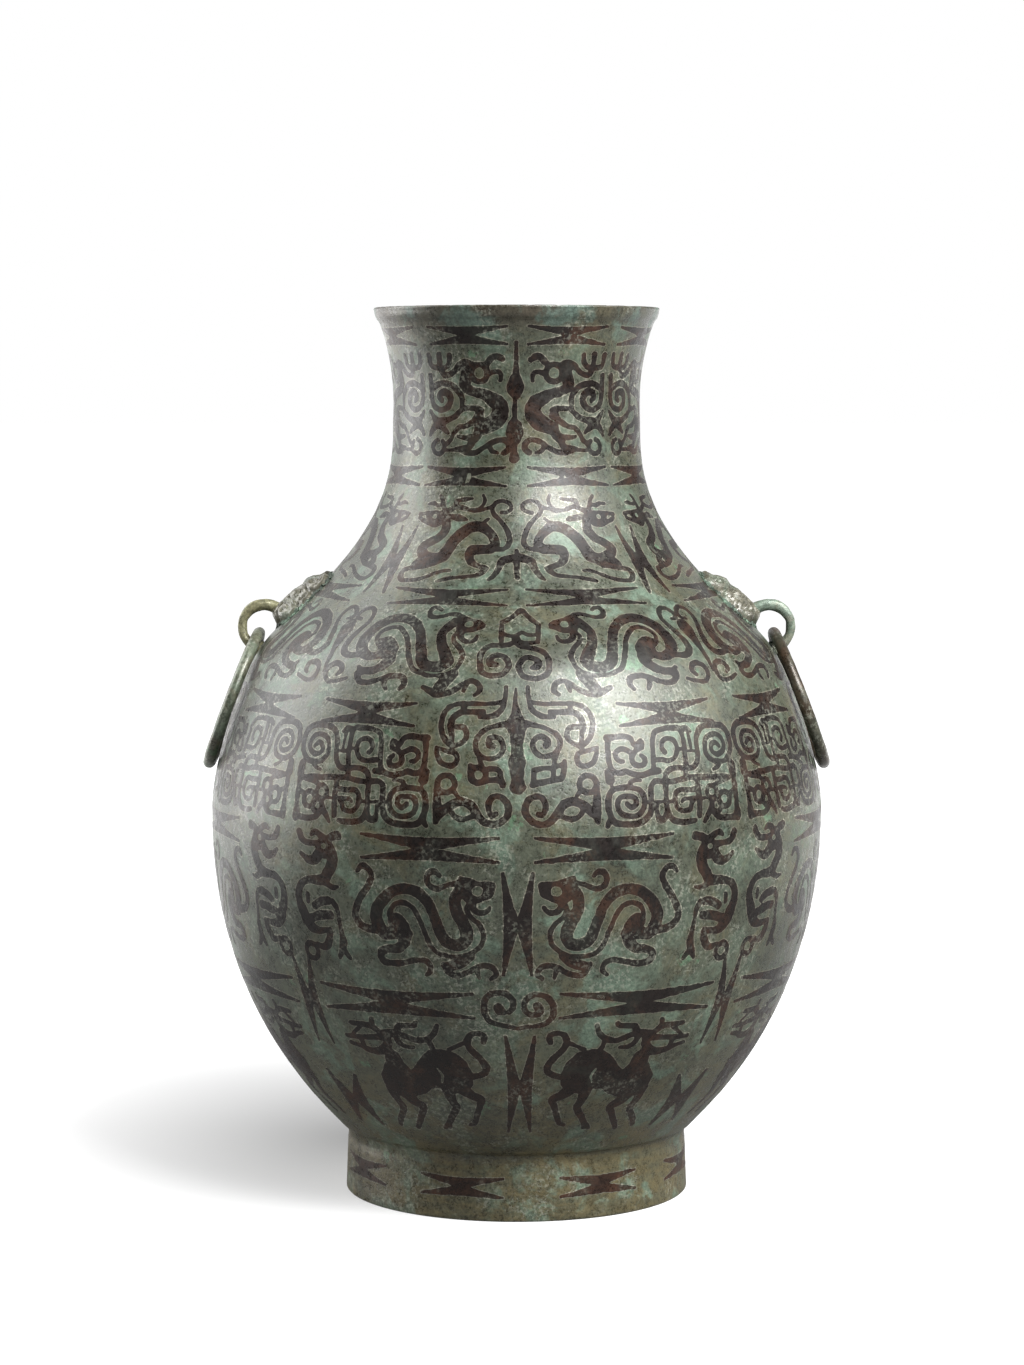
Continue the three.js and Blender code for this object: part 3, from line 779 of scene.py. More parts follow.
# Band 3: hourglasses again, one under each bird.
lay_band(3, 323.3, 50.1, [
    (hourglass(-17, 17, -4.6, 3.2), mirrored_at(24), False),
])

# Band 4, where the neck spreads: crouching cats with antlers, a three-legged mark between their tails
# and an upright hourglass between their heads.
cat = Figure("""
    35 18.5, 33.5 17, 32.8 15, 31.8 13, 30.5 11.5: 1.1 1.6 1.8 1.8 2.2;
    40.5 15.3, 38 15.5, 36 14.8, 33 15: 1 1.4 1.3 1.3;
    44 11, 40 11.3, 36 11.5, 33 11, 31 12, 28.5 13, 26 14.3, 24 14, 20 13, 16 13, 11.5 14: 1.2 1.4 1.6 2.4
        2.2 1.8 1.8 1.6 1.3 1.5 1.1;
    43.4 9.4, 41 8.3, 38 7.5, 35 6.5, 32.5 7.5, 31.5 9.5: 1.1 1.6 1.6 2 2 1.8;
    39.4 10.6, 38 9.8, 36 10.6, 34 10, 31 9: 1.6 2 1.2 2.2 3;
    26.3 14.5, 26.5 16.3, 25 17, 22 17.3, 19.4 17.6: 2 2 1.5 1.2 1;
    15.5 13.4, 14 15.5, 13.6 17, 14.5 19: 1.4 1.3 1.2 0.9;
    29 10.1, 25 9.8, 22 9.2, 20.4 8.9: 1.4 2.5 1.8 0.5;
    30.5 10, 29 7, 29 4, 31 1, 34 -1, 36.5 -3, 36 -5.5, 33 -7.5, 30 -8.5, 27 -7.5, 25.5 -4, 24 0, 21 3.5,
        18 5.8, 14 6, 12 4.8, 9.5 2.5, 8 -1, 9.5 -3.5, 12.5 -4, 15.5 -4: 3 3.5 3.6*5 4 5 5 4.6*3 4.3 4 3.4
        3 3.4 4*3;
    16.5 -4, 17 -7, 15.5 -10, 13 -11.5, 10.5 -12.5, 11 -14, 13 -16, 16 -16.5, 20 -17.2, 23 -18, 25.6 -19:
        3.6 3 2.4 2 2 1.8 1.7 1.3 1.3 1.7 1.2;
    33 -9.6, 36 -9.4, 37.2 -11.4: 2.6 2 1.8;
    30 -9.5, 33 -11.5, 37 -13, 40 -14, 40.4 -16.5, 39 -18.7, 36.5 -19.3, 33 -18.5, 30 -17, 27 -15,
        24.5 -13.8, 22.4 -14: 5 3.4 2 1.8*3 1.7 1.5 1.4 1.3 1.2 1;
    10.6 14.4, 9.5 11.5, 7 9, 4.5 6, 3 2.5, 2.7 -1, 4.4 -3.4, 8 -3.8: 1.4 1.6 1.5 1.7 1.8 1.7 1.6 2;
    10 14, 9 16, 6 16.8, 3 15.8, 2.3 13.8, 4 12.3, 6.4 12: 1.3;
    11.5 9.4, 14 7.6: 0.9;
    30 12.4, 34 12.4, 40 11.8, 39.4 8.6, 35 7, 31 8;
    cut 35.6 10, 35.8 10: 2.4
""")
tripod = Figure("""
    0 -4.4, 0 -10, 0.2 -17.2: 1.1 1.8 1.2;
    0 -6.6, 2.4 -8, 4.4 -8.8, 5.6 -11, 6.4 -14, 7.8 -16.8, 8.8 -18: 1.6 3.2 3 2.2 1.7 1.5 0.9;
    0 -6.6, -2.4 -8, -4.4 -8.8, -5.6 -11, -6.4 -14, -7.8 -16.8, -8.8 -18: 1.6 3.2 3 2.2 1.7 1.5 0.9
""")
lay_band(4, 296.3, 60.1, [
    (cat, SIDES, True), (tripod, SIDES, False),
    (hourglass(-4.6, 4.6, -26, 6, 2.6, upright=True), CORNERS, False),
])

# Band 5: long hourglasses above the dragons.
lay_band(5, 269.4, 77.0, [
    (hourglass(-23.5, 23.5, -4.2, 4.4), mirrored_at(20), False),
])

# Band 6, on the shoulder: dragons with curled tails face a gabled mark on two spirals; a drop between
# the tails. The gabled mark is left out over the loops, at the two handles.
dragon = Figure("""
    13.9 11.6, 15.6 12.6, 18 13.4, 20.5 14.5, 23 15.6, 25 16.7, 28 16.9, 31 15.9, 34 15.3, 36.6 15.5,
        38 17.5, 37.3 19.5, 35.4 20.2, 33 19: 2.2 2.8 2 2 2.1 1.9 1.6 1.4 1.6 2 2 1.9 1.7 1.2;
    14.2 11, 16 9.9, 18.5 8.8, 21 8.6: 2.6 2.2 1.9 2.2;
    23 14, 23.4 11.5, 22.4 8.8: 2.8 3.2 2.8;
    21.6 8.2, 21.8 5.5, 20.3 3.8, 18 3.2, 16 4, 15.4 5.8: 2.2 2.1 2 1.8 1.5 1.1;
    23 8.4, 24.4 6, 24 3.5, 21.5 0.5, 19.6 -3, 19.9 -6, 21.4 -9.4, 25 -11.7, 30 -12.2, 34 -11.2, 37 -9.5,
        39 -6, 41 -1, 43 4, 46 7.6, 49 9.4, 52 9.4, 55 8, 56.5 5.5, 56 2.5, 54.4 0.6, 52 0: 1.4 1.4 1.5 1.7
        1.7 1.5 1.3*3 1.5 1.7*8 1.6 1.5 1.4 1.2;
    25.4 13, 28 10, 29.4 7, 28.5 2, 26 -3, 25 -6, 27 -8.3, 31 -8.5, 34 -6.5, 35.5 -2, 37 3, 39 8, 42 11.5,
        46 13.8, 51 14.3, 56 12.7, 60 9, 61.8 4, 61.6 0, 59.5 -3.4, 56 -5, 53 -4.5: 4.2 3.8 3.4 3.6 4.4 4.8
        4.4 4 4 3.8 3.6 3.6 3.8 4 4.2 4.4 4.8 5.2 5 4.2 3.6 3.2;
    49.4 -1.6, 51 1.6, 53.6 2: 8.6 6 4;
    48 -3, 47 -6, 49 -9, 52.5 -11, 56 -11.5, 58 -12.5, 57 -15, 54.5 -16, 51 -15.5, 47.5 -14, 45 -13,
        42 -12.8, 39.5 -13.7, 38.8 -16, 40.2 -18: 5.4 4.4 3.6 2.9 2.8 2.6 2.1 1.9 1.7 1.7 2*3 1.7 1.2;
    46.7 -14.2, 46.4 -16.5, 45.3 -18.2: 1.8 1.7 1.1;
    56.6 -12, 58.7 -9.8: 2.4 1.4;
    58 -4, 62 -4.7, 65 -5, 68 -4, 69.5 -1, 69 3, 67.5 7, 66 10, 65 13.5, 66 17, 69 18.8, 72 17.8,
        73.8 15.5, 73 13.3, 70.4 12.8: 2 2.2 2.4 2.6 2.8 2.6 2.2 2 1.9*5 1.7 1.2;
    62.4 -14.8, 66 -16, 70 -16.4, 72.4 -14, 72 -10.5, 69.5 -8.8, 66.5 -9.5, 65.6 -12, 67 -13.4: 1.1 1.3 1.5
        1.7 1.9 2.1 2.1 1.9 1.3;
    22 -11.4, 24 -14, 26 -16.6: 3.4 4 4.2;
    31.6 -17, 29 -18.5, 26.5 -19.6, 23 -19, 20 -17, 17.5 -15, 15 -14, 12.8 -15.5, 12.3 -18, 13.8 -19.6: 1.6
        2.4 2.3 1.9 1.7 1.6 1.7 1.7 1.5 1;
    17 -15.6, 17.7 -18.2: 1.6 1;
    14 12.2, 16 13, 20 15, 24 15.8, 25 12.6, 23 8.8, 20 8.2, 16.4 9.4, 14 10.4;
    cut 19.3 12, 19.5 12: 3.8
""")
gable = Figure("""
    -6 12.8, -2 15.6, 1.8 19, 5 15.6, 8.7 11.8: 1.8 1.8 2.2 1.8 2;
    -6 13.2, -6.1 8, -5.8 3.4: 1.6;
    8.7 12, 8.4 8, 8 3: 1.8 1.6 1.4;
    -5.8 8, -3.6 6.5, -0.4 6.3, 2 8, 4.4 6.6, 8 6.8: 1.3;
    8.2 3.4, 4.5 2.6, 1.2 3.6, 0 6: 1.2 1.5 1.6 1.4;
    -1 4.6, 1 1.4, 4 0.6, 8 -0.6, 10.5 -3, 11.4 -7, 10.5 -11, 7.5 -12.9, 4 -12.7, 1.3 -11, 0.7 -7.5,
        2.5 -4.7, 5 -4.1, 7.4 -5.5, 7.3 -8, 5.6 -8.8: 1.6 1.8 2 1.9 1.8*7 1.9 2 2.2 2.4 1.8;
    -0.4 3.4, -4 1.8, -9 1.5, -12.4 -1, -13.1 -6, -12 -10.4, -8.5 -12, -4.6 -11, -2.9 -7.5, -4 -4.2,
        -7 -3.1, -9.4 -4.6, -9 -7, -7.2 -7.4: 1.8 2*3 1.9 1.8*4 1.9 2 2.3 2.5 1.9
""")
drop = Figure("""
    0 9.4, 0 8.2: 6 7;
    0 8, 0.1 4, 0.4 -2, 0.8 -8, 0.8 -12.4: 6.8 4.8 2.2 1.5 0.9
""")
lay_band(6, 244.0, 95.2, [(dragon, SIDES, True), (gable, (0, 180), False), (drop, CORNERS, False)])

# Band 7: hourglasses to each side of the hooks that rise from the register below.
lay_band(7, 216.2, 109.5, [
    (hourglass(-20.5, 20.5, -4.6, 4.8), mirrored_at(30.5), False),
])

# Bands 8 and 9, one register, the widest: a trunk with two great spirals and hooked beasts, and between
# them blocks of interlaced snakes wound into rounded squares.
trunk = Figure("""
    -0.5 27, -0.6 22, -0.4 17, -0.2 13: 0.8 1.4 3.4 7.6;
    -0.2 13, 0.2 9, 0 5, 0.1 1.4, 0.1 -1, 0 -4, 0.3 -8, 0.3 -9.8: 7.6 5 3.8 4.4 6 5.2 3.8 5.8;
    -1 14.2, -4 13.4, -8 12.6, -12 11.2, -15 7.8, -15.2 4, -13.4 1, -10 0.2, -6.8 1.1, -5.1 3.8, -5.5 6.8,
        -7.8 8.4, -10 7.9, -10.6 5.9, -9.2 4.9: 3.4 2 1.5 1.5 1.7 1.7 1.6 1.5 1.6 1.7*3 1.8 2.2 2.2;
    -14.5 3, -13.6 0, -12.4 -2.8: 1.5 1.4 1.6;
    1 14, 4 13.3, 8 12.5, 12 11.2, 15.6 8.4, 15.9 5, 14 2.2, 11 1.1, 8 1.6, 6.1 4, 6.2 6.8, 8 8.5,
        10.4 8.2, 11.7 6.3, 10.8 5: 3.4 2 1.5 1.5 1.8 1.8 1.7 1.6 1.6 1.7*3 1.8 2.2 2.2;
    15.2 3.4, 14 0, 13.3 -3.6, 13 -6.4: 1.5 1.3 1.3 1.5;
    5.6 -9.4, 9 -8.5, 14 -7.6, 16.2 -7, 17 -4.6, 17.4 -0.9: 2.2 2 1.9 1.9 1.8 1.5;
    5.8 -9, 5.9 -6, 6.4 -4, 9 -3.4, 13 -3.2, 17 -1.7: 1.6 1.5 1.6 1.5 1.5 1.4;
    ring -14 -6 2.9 1.7;
    -16.9 -2.5, -16.6 -6, -14.5 -8.7, -11 -8, -8 -7.5, -5.6 -8.2, -5 -9.8: 1.8 2 2 1.9 1.8 2 1.8;
    -16 -2.9, -12 -3.6, -8 -3.6, -6.2 -4.6, -5.7 -7.6: 1.5 1.5 1.6 1.6 1.5
""")
hooks = Figure("""
    4.3 27.4, 4.7 23, 6.4 21.5, 12 21, 18 21, 23 20.8, 27 19, 29 15, 28.6 10, 26.6 6.6, 24 5, 21.8 5.4,
        19.6 7, 18.8 9.5, 20 11.8, 23 12: 1.5 1.5 1.3 1.3 1.4 1.5 1.7 1.8*3 1.7 1.6 1.6 1.7 1.8 1.8;
    4.5 24.4, 5.3 20, 8 17, 11 16, 14.2 16: 1.4 1.8 2 1.7 1.4;
    13 17.8, 18 17.8, 22 17.5, 24.5 15.5, 25.3 12.5, 24.5 9, 24.2 6, 24 3: 1.9 1.9 2 2.2 2.4 1.6 1.2 1.2;
    20.8 21, 20.8 18: 1.8;
    30 4.1, 29.4 1, 27.4 -1.9, 24 -2.7, 22.1 -1, 22.4 1.7, 25 2.6, 30 4: 1.2 1.6 1.7*3 1.6 1.4 1.2;
    ring 25.6 -9.4 3.2 1.8;
    28.7 -9, 28.7 -13, 28.4 -17, 28.2 -20, 28.6 -23.4: 1.8 2 3 3.4 1.6;
    23 -11.4, 21.2 -13.8: 1.4 1;
    27.4 -20.4, 23.4 -17, 19.4 -15.7, 16.2 -17.2, 14.2 -20, 12 -22.6, 9 -24, 6 -23.4, 3.6 -21, 2.9 -18,
        4.4 -14.8, 7.4 -13.6, 9.6 -15, 10.1 -18, 8.8 -20.8, 7.4 -20.2: 3 3 2.9 2.9 2.7 2.4 2.1 2.1 2.2 2.2
        2.1 1.9 1.8 1.7 1.6 1.6;
    15.4 -21, 18.8 -22.2, 21.8 -21.4, 23.4 -19.2: 1.4 1.7 1.6 1.4
""")
snakes = Figure("""
    84 9, 82.4 10.4, 80.4 9.9, 79.6 8, 80.6 6.5, 83 6, 86 7.6, 86.5 10.5, 85 13, 82 13.7, 78.5 12.5, 77 10,
        76.6 7, 78 4.6, 81 3.2, 85 3.2, 88 5, 90 8, 90.3 12, 89 15.4, 86 17, 81 17.2, 77 16.5, 74.5 14.5,
        73 11, 72.7 7, 71.5 3.5, 69 1.6, 64 1.8, 60 1.7, 57.5 0.4, 56.5 -2, 56.3 -6, 56 -12, 56.6 -15,
        58.4 -17.4, 63 -18.3, 67.6 -18: 1.4 1.7*10 1.8*5 1.9 1.9 2.2 2.4 2.2 2*3 1.9 1.9 1.8*3 1.7 1.9 1.9
        1.7 1.8 2 2 1.9 1.6;
    54.6 1, 52.2 1, 52.4 4, 53 9, 53.4 13, 55 15.8, 59 16.9, 63 17, 66.5 16.3, 67 10, 66.5 4, 65.4 -1.6:
        1.4 1.6 1.7*5 1.8 1.9 1.8 1.8 1.7;
    66.4 16.5, 69.6 16.4, 71.2 15.4: 1.6 2.2 1.2;
    69.8 15.8, 70 8.2: 1.2 0.8;
    64.2 9, 66.4 9, 67.6 8, 72.2 7.8: 0.8;
    53 5.2, 56 5.1, 59 4.8, 62 6, 63.5 9, 63 12, 60 13.2, 57.5 12, 56.8 9.6, 58 8: 1.6;
    35 14.3, 34.6 9, 34.8 4, 36 1.6, 38.5 0.8, 41 1.5, 43 0.7, 47 -0.1, 51 0.9, 54.4 1.3: 2 1.8 1.8 1.9 1.9
        2 1.9 1.8 2 2;
    34.6 14.2, 38 14.5, 42 14.7, 44.4 13.5, 45.6 11.2, 48.4 13, 48.5 10, 46.2 9.4, 44 7, 44 4.6, 46 3.3,
        48.5 3.8, 49 6, 47.6 7.4: 2.6 1.9 1.8 1.8 1.7 1.2 1.5 1.7 1.8*4 1.7 1.3;
    43.4 8.6, 40.6 10, 38 9.1, 37.4 7, 39 5.4, 40.2 5.4: 1.6 1.8 1.7 1.7 1.6 1.2;
    34.2 1.4, 34.6 -1.4: 3 3.4;
    35 -3, 35 -5: 1.1;
    40.4 -10.6, 42 -12, 44 -10.6, 43.5 -8.4, 41 -7.7, 38 -8.1, 36.7 -10.5, 37.5 -13.5, 40.5 -15, 44 -15,
        46.5 -12.6, 47.3 -9, 46 -6, 43.5 -4.8, 39 -4.5, 35.5 -5.1, 33.5 -7.6, 33.2 -12, 34.5 -16, 37 -17.8,
        43 -18, 47.5 -16.5, 49.7 -13, 50 -8, 50.4 -4.2, 52 -2.7, 55 -2.8, 60 -3, 66 -2, 71 -2.1, 78 -2.5,
        86 -3.1: 1.6 1.7*10 1.8*5 2*4 2.1 2.1 2 1.9 1.8*6 2 2;
    34 -16, 32.6 -18.3: 2.2 1.4;
    42.2 -4.6, 42.2 -2.6, 44 -1.9, 46.2 -2: 1.4 1.3 1.2 0.8;
    46.5 -10.3, 56 -10.3: 0.9;
    51.8 -10.5, 52 -14.6, 52.8 -16.6, 54.6 -16.8, 55.6 -14.6: 1.3 1.4 2.4 2.4 1.4;
    70.4 -3.4, 70.4 -10, 69.8 -16.2: 1.8 2 2;
    70.2 -6.2, 66 -6.6, 62 -6.4, 60 -8, 59.8 -11, 60.8 -13.2, 63 -14.3, 66 -13.8, 66.9 -11.4, 68.6 -9.8,
        64 -9.8, 62.6 -10.8: 1.8 1.7*4 1.6 1.5*3 1.3 1.1 1;
    57.6 -10.5, 60 -10.5: 0.9;
    88.6 1.8, 88.6 -1.8: 3.2 3.4;
    88.4 -2, 88.5 -7, 88.3 -12, 88 -16: 2.2 2 2 2.2;
    88.2 -16, 88.2 -18: 3.2 3.2;
    88 -18, 84 -18, 80 -17.9, 77.4 -16.6, 76 -13.8, 76.4 -11.4: 2.4 2 1.9 2 1.8 1.6;
    ring 76.6 -8 2.5 1.6;
    ring 78 -13 2.4 1.7;
    ring 82.2 -11 2.8 1.8;
    84.8 -9.4, 87.6 -8: 2 1.4;
    75.4 -13.8, 73.4 -16.6, 72 -18.7: 2 1.9 1.2;
    72.2 -10, 74.4 -9.8: 0.9;
    78 -5.6, 81 -4.2, 85 -3.5: 1.4 1.7 1.8;
    83.4 3, 81.6 1.2, 78.8 0.2: 1.4 1.3 0.9;
    87.6 4.4, 88.2 1.6: 0.9
""")
lay_band(8, 200.0, 114.9, [(trunk, SIDES, False), (hooks, SIDES, True)])
lay_band(9, 193.3, 116.9, [(snakes, SIDES, True)])

# Band 10, at the belly's widest: hourglasses beside the crests of the upright beasts.
lay_band(10, 166.6, 121.07, [
    (hourglass(-27, 27, -4.8, 4.8, 6.0), mirrored_at(15.8), False),
])

# Bands 11 and 12, one register: crested phoenix dragons back to back with upright beasts, hourglasses
# on end between them.
phoenix = Figure("""
    9 15, 11 15.3, 14 15.6, 17 16.5, 20.4 17.7: 2.6 2.2 1.8 2 1.6;
    9.4 14, 10 12, 12.5 10.5, 15 9.6: 2.3 2.8 2 2.2;
    19.4 16, 19.4 12.4, 17.6 10: 3 3.4 3;
    20.6 16.3, 25 15, 29 13.5, 32 14.5, 33 17, 32.3 19.3, 30 20, 28.2 18.5: 1.4 1.5 1.7 1.9*4 1.3;
    16.6 9.6, 16 6.6, 14 5, 11.5 5, 9.8 6.8: 2.4 2.3 1.9 1.7 1.1;
    17.5 8.6, 18.3 6, 17 3, 14 0.5, 12.3 -3, 13 -7, 16 -10, 20 -12, 25 -12.3, 30 -11, 33 -7.5, 35 -2, 37 3,
        39.5 6.6, 43 7.8, 46 6.8, 48 4, 47.9 1.5: 1.5 1.6 1.5*4 1.4 1.5*6 1.6*3 1.5 1.4;
    20.5 14, 22.5 10, 22.3 5.5, 20 1, 18.5 -3, 19.5 -6.5, 23 -7.8, 27 -6, 29 -2, 31 4, 33.5 9, 37 12,
        42 13, 47 11.5, 51 8, 53.4 4, 53.5 0, 51 -4.2, 46 -4: 3.4 4 4.1 4.5 4.5 4.2*3 3.8 3.5 3.6 4 3.6 3.8
        4.2 4.5 4.7 4.6 4.4;
    44.4 -1.8, 45.6 0.4: 7.6 6.4;
    53 -3.4, 58 -3, 61.5 -1, 62.8 2, 61.5 6, 59 10, 56.5 13.5, 55 17, 56.4 19.9, 59.2 20.6, 61 18.6: 3 2.8
        2.6 2.5 2.4 2.3 2.2 2 2 1.9 1.2;
    42 -4, 43.5 -8, 46 -10, 50 -10.5, 53 -12, 53 -14.5, 50.5 -16, 46 -16, 43 -15.3, 39 -14.3, 35.5 -14.3,
        33.3 -16, 33.5 -18.5, 35.2 -20: 4.8 4.2 3.4 2.8 2.6 2.5 2.3 2.1 1.9 1.8*3 1.7 1.1;
    17.4 -12, 21 -14.4, 25 -16, 27.4 -16: 3 4 3.6 2;
    28 -15.6, 26 -18.8, 23 -19.8, 19 -18.5, 15.5 -16.5, 12 -15.5, 9 -16.5, 7.8 -19, 9.8 -20.8: 1.8 2.2 2
        1.8 1.8 1.9 1.9 1.8 1.3;
    15.4 -17, 14.4 -20.6: 1.8 1.1;
    9 15.8, 13 16.2, 17 17, 20 16, 20.4 12, 18.4 9, 14.6 9, 11.6 10.6, 12.2 12.6, 9.2 13.8;
    cut 14.2 13, 14.5 13: 4.3
""")
lay_band(11, 138.4, 119.3, [
    (phoenix, SIDES, True),
    (hourglass(-5.6, 6.2, -19.5, 20, 2.4, upright=True), SIDES, False),
])
upright_beast = Figure("""
    69.8 22.6, 72.5 22, 75 20.5, 77.5 22, 80.5 23.2, 82.4 22.2: 3 2.9 2.6 2.2 2.1 1.4;
    76.6 19.4, 80 19, 84 19, 87 20, 88.6 22.8: 2 1.9 2 2.4 2.6;
    75.5 20.6, 77.5 17.5, 79.5 14.2, 82 12.4, 85 12.8, 87.7 14.8: 3 4 4.4 3.4 2.4 1.4;
    75 19, 72.6 15, 73 11, 75 8, 76.4 6, 79 5.2, 83 5, 87 4, 89.2 2, 90.3 -1, 90 -4, 88.8 -7, 87 -11,
        84.5 -13.6, 81 -14.4, 78 -14, 76 -14: 5 4.6 4.4 4.2 4.2 3.8 2.8 2.6 2.8 3 3.4 4.4 4.6 3.8 2.4 2 2;
    76.4 4.6, 73 3, 70.2 3.4: 2.4 1.8 0.9;
    75.4 -2.3, 79 -3, 82.2 -4.8: 3 3 2.8;
    74.6 -7.8, 78 -8, 82 -9, 86.4 -10.4: 3 3.3 3.3 3;
    85.4 -0.6, 85.5 -3.6: 1.6;
    73.2 -2.4, 71.5 -5, 71 -9.4: 2 1.9 1.2;
    76 -14, 76.5 -17, 78.5 -20.2, 81 -20.8, 83.4 -20: 2.4 3 3 2.1 1.6;
    ring 86.8 -22.9 3.1 1.9;
    71 -9.4, 70.4 -14, 70 -17.6, 71 -21, 72.7 -24.2: 1.4 1.6 3 3 1.2;
    70.8 -20.6, 67.8 -24.2: 2.8 1.4;
    72 18, 73 21.6, 78 21, 80.4 18.6, 80 15, 76.6 13.4, 73 14;
    cut 76.4 18.2, 76.6 18.2: 2.6
""")
lay_band(12, 147.0, 120.3, [(upright_beast, SIDES, True)])

# Band 13: the longest hourglasses, a double scroll on each side's centre line, and a tall narrow
# hourglass on each corner.
scroll = Figure("""
    7.6 0.2, 8.6 -1, 8 -2.9, 5.5 -3.4, 3.2 -1.9, 2.7 1, 4 3.8, 6 5, 9.5 4.8, 12 3.3, 13.6 0, 13.5 -4,
        11.5 -7, 8 -8.2, 4 -8.5, 0 -9.2, -3 -8.4, -8 -7.2, -11 -5.5, -12.2 -2, -12 2, -10.5 4.8, -7 6,
        -3.5 5.3, -1.4 2.5, -1.4 0, -2.9 -2.4: 3 3.4 2.6 1.8*3 2 2 1.8 2 2.1 2.1 1.8 1.7 1.5*3 1.7 1.9 2*7
        1.6;
    -7 -0.2, -6.4 -1.4: 3.4 3.6;
    -6.4 -1.6, -4.8 -2.4: 2.4 1.6
""")
lay_band(13, 106.0, 111.6, [
    (scroll, SIDES, False),
    (hourglass(-32, 32, -5.4, 5.6, 5.0), mirrored_at(24.6), False),
    (hourglass(-5.0, 5.0, -22, 17, 2.4, upright=True), CORNERS, False),
])

# Band 14: antlered oxen walking away from each centre line, with hourglasses on end at the centre
# lines and the corners.
ox = Figure("""
    27.4 24.4, 29 20.4, 32 17.8, 36 17.2, 40 18.8, 44 20, 49 19: 1.2 1.8 2.2*3 2.4 2.6;
    34.8 25, 35.4 23.8, 38 23.4, 41.4 22.9, 42.6 20.4: 1.4 1.8 2 2.2 2.4;
    37.6 13.9, 40.4 13.9, 42.8 15.6, 43.6 19: 1.4 1.8 1.9 2;
    49.6 19.6, 52.4 21.8, 56 22.2, 61 22.3: 2.2 2.4 2.2 1.6;
    52.2 22, 51.6 25.2: 2 1.4;
    57 21.4, 59 19.6, 61.4 17.6: 1.2 1.4 1;
    64.6 16.2, 60 16.2, 54 16.8, 49 17.4, 46.6 18.6: 1.6 1.9 2 3 3;
    63.8 13.2, 60 12.2, 57 11, 53.4 10.4, 50 11.4, 47.4 14.4, 47 17: 1.5 1.8 2.4 3 3.6 3 2.8;
    58.4 15.4, 58 12.6: 2 1.6;
    11.6 17.4, 11.2 20, 13 21.6, 16 20.8, 17.4 17.6, 16.2 14, 13.6 10.6, 11.4 7, 11.4 3.8, 13.6 2, 17 1:
        1.7 1.9 1.9 2 2.1 2.2 2.3 2.4*3 2.6;
    17.4 17.6, 20 16, 24 13.8: 1.3;
    31 16.6, 30 12.6: 1.5 1.7;
    52.6 -7.6, 52 -13, 50.6 -17.6, 52.4 -21, 55.4 -25, 57.2 -28.4: 4.6 3.4 3 2.6 2.5 2;
    46 -10, 43.4 -14, 40.4 -16, 42 -19.6, 45 -24.6, 48 -29.2: 6.4 4.6 3.2 2.7 2.5 2;
    27.4 -4, 27 -9, 26.2 -13, 25.4 -15.6, 28 -20, 31 -25, 33.4 -27.8: 5.6 4.2 3.2 3 2.7 2.4 2;
    31 -25.6, 31.4 -27.4: 2.4 2.2;
    22.4 -4, 18.6 -8, 14.4 -10.6, 15.4 -14, 17 -19, 18.8 -23.8, 21.2 -25.2: 6 4.4 3.2 2.4 2.2 2.2 1.4;
    17 -3, 16.8 3, 18.6 8.4, 22 12.2, 27 13.6, 31.6 12.8, 35 9.8, 37.8 5.6, 40.6 2.6, 42.8 5.4, 44.4 10.6,
        47 12.6, 50 10, 50.4 6, 52.6 2.2, 55 -1.4, 54.4 -6, 51.6 -10, 46 -12.6, 40.6 -10, 37.4 -8.8,
        34 -5.6, 29.6 -5.4, 24.6 -7.6, 20.4 -7.2;
    cut 29.8 4.4, 28.4 1, 29.2 -2.6: 1.2 1.6 1;
    cut 55 13.9, 52.2 13.9: 1.4 1.8;
    cut 61.6 14.6, 66 14.7: 0.9
""")
lay_band(14, 72.9, 98.1, [
    (ox, SIDES, True),
    (hourglass(-4.2, 6.6, -29, 20.5, 2.4, upright=True), SIDES, False),
    (hourglass(-8.6, 8.6, -31, -3, 2.6, upright=True), CORNERS, False),
])

# Band 15, on the foot: eight small hourglasses on the ring.
lay_band(15, 14.2, 67.6, [
    (hourglass(-17, 17, -5.2, 2.8, 3.4), (-18.6, 28.6, 73, 118, 163, 208, 253, 297), False),
])

# The masks: an animal's face cast on each side of the shoulder, with curled horns, a brow, round eyes,
# cheek scrolls and a ridged nose whose snout holds the loop. Each was cast first and set in the mould,
# so the wall grips it, and green corrosion has grown along the joint. Drawn like the inlays, in mm.
MASK_HEIGHT = 0.2346
MASK_PLATE = 1.2
MASK_BACK = -0.00025
FACE_HALF_WIDTH = 14.0
# How far the middle of the face stands out, from the snout's end up to the crest
FACE_RISE = ((-14.7, 1.6), (-12.5, 3.6), (-9.5, 4.2), (-4, 4.3), (0, 4.2), (3.6, 3.2), (6.6, 3.6), (8.8, 2.6),
             (11.4, 0.8), (14.7, 0.2))
half_face = numbers("0 -14.7, 3.6 -14.6, 6.4 -13.4, 8.4 -11.8, 11 -12.3, 13.6 -11.2, 15.4 -8.6, 15.8 -5.6, "
                    "17 -3.2, 17.5 -0.4, 17 2, 15.2 3.8, 14.9 5.4, 16 7.6, 16.4 10, 15.2 12.6, 12.6 14, "
                    "9.8 14.2, 7.4 13.2, 5.4 11.5, 3.8 12, 1.8 13.6, 0 14.8")
face = Figure(fills=[np.array(half_face + [(-x, y) for x, y in half_face[-2:0:-1]])])
face_x, face_y = np.meshgrid(face.xs, face.ys)


def layer(*strips):
    """The distance to the edge of some strips and of their mirror images, on the face's own grid."""
    field = np.full_like(face.depth, FAR)
    for points, widths in strips:
        rows = drawn(points, widths, 0.5)
        face.add_strip(rows, field)
        face.add_strip(rows * (-1, 1, 1), field)
    return field


def raised(field, height, soft):
    """A form that stands up inside the field and rounds over within the soft width."""
    return height * np.sqrt(1 - (1 - np.clip(-field / soft, 0, 1)) ** 2)


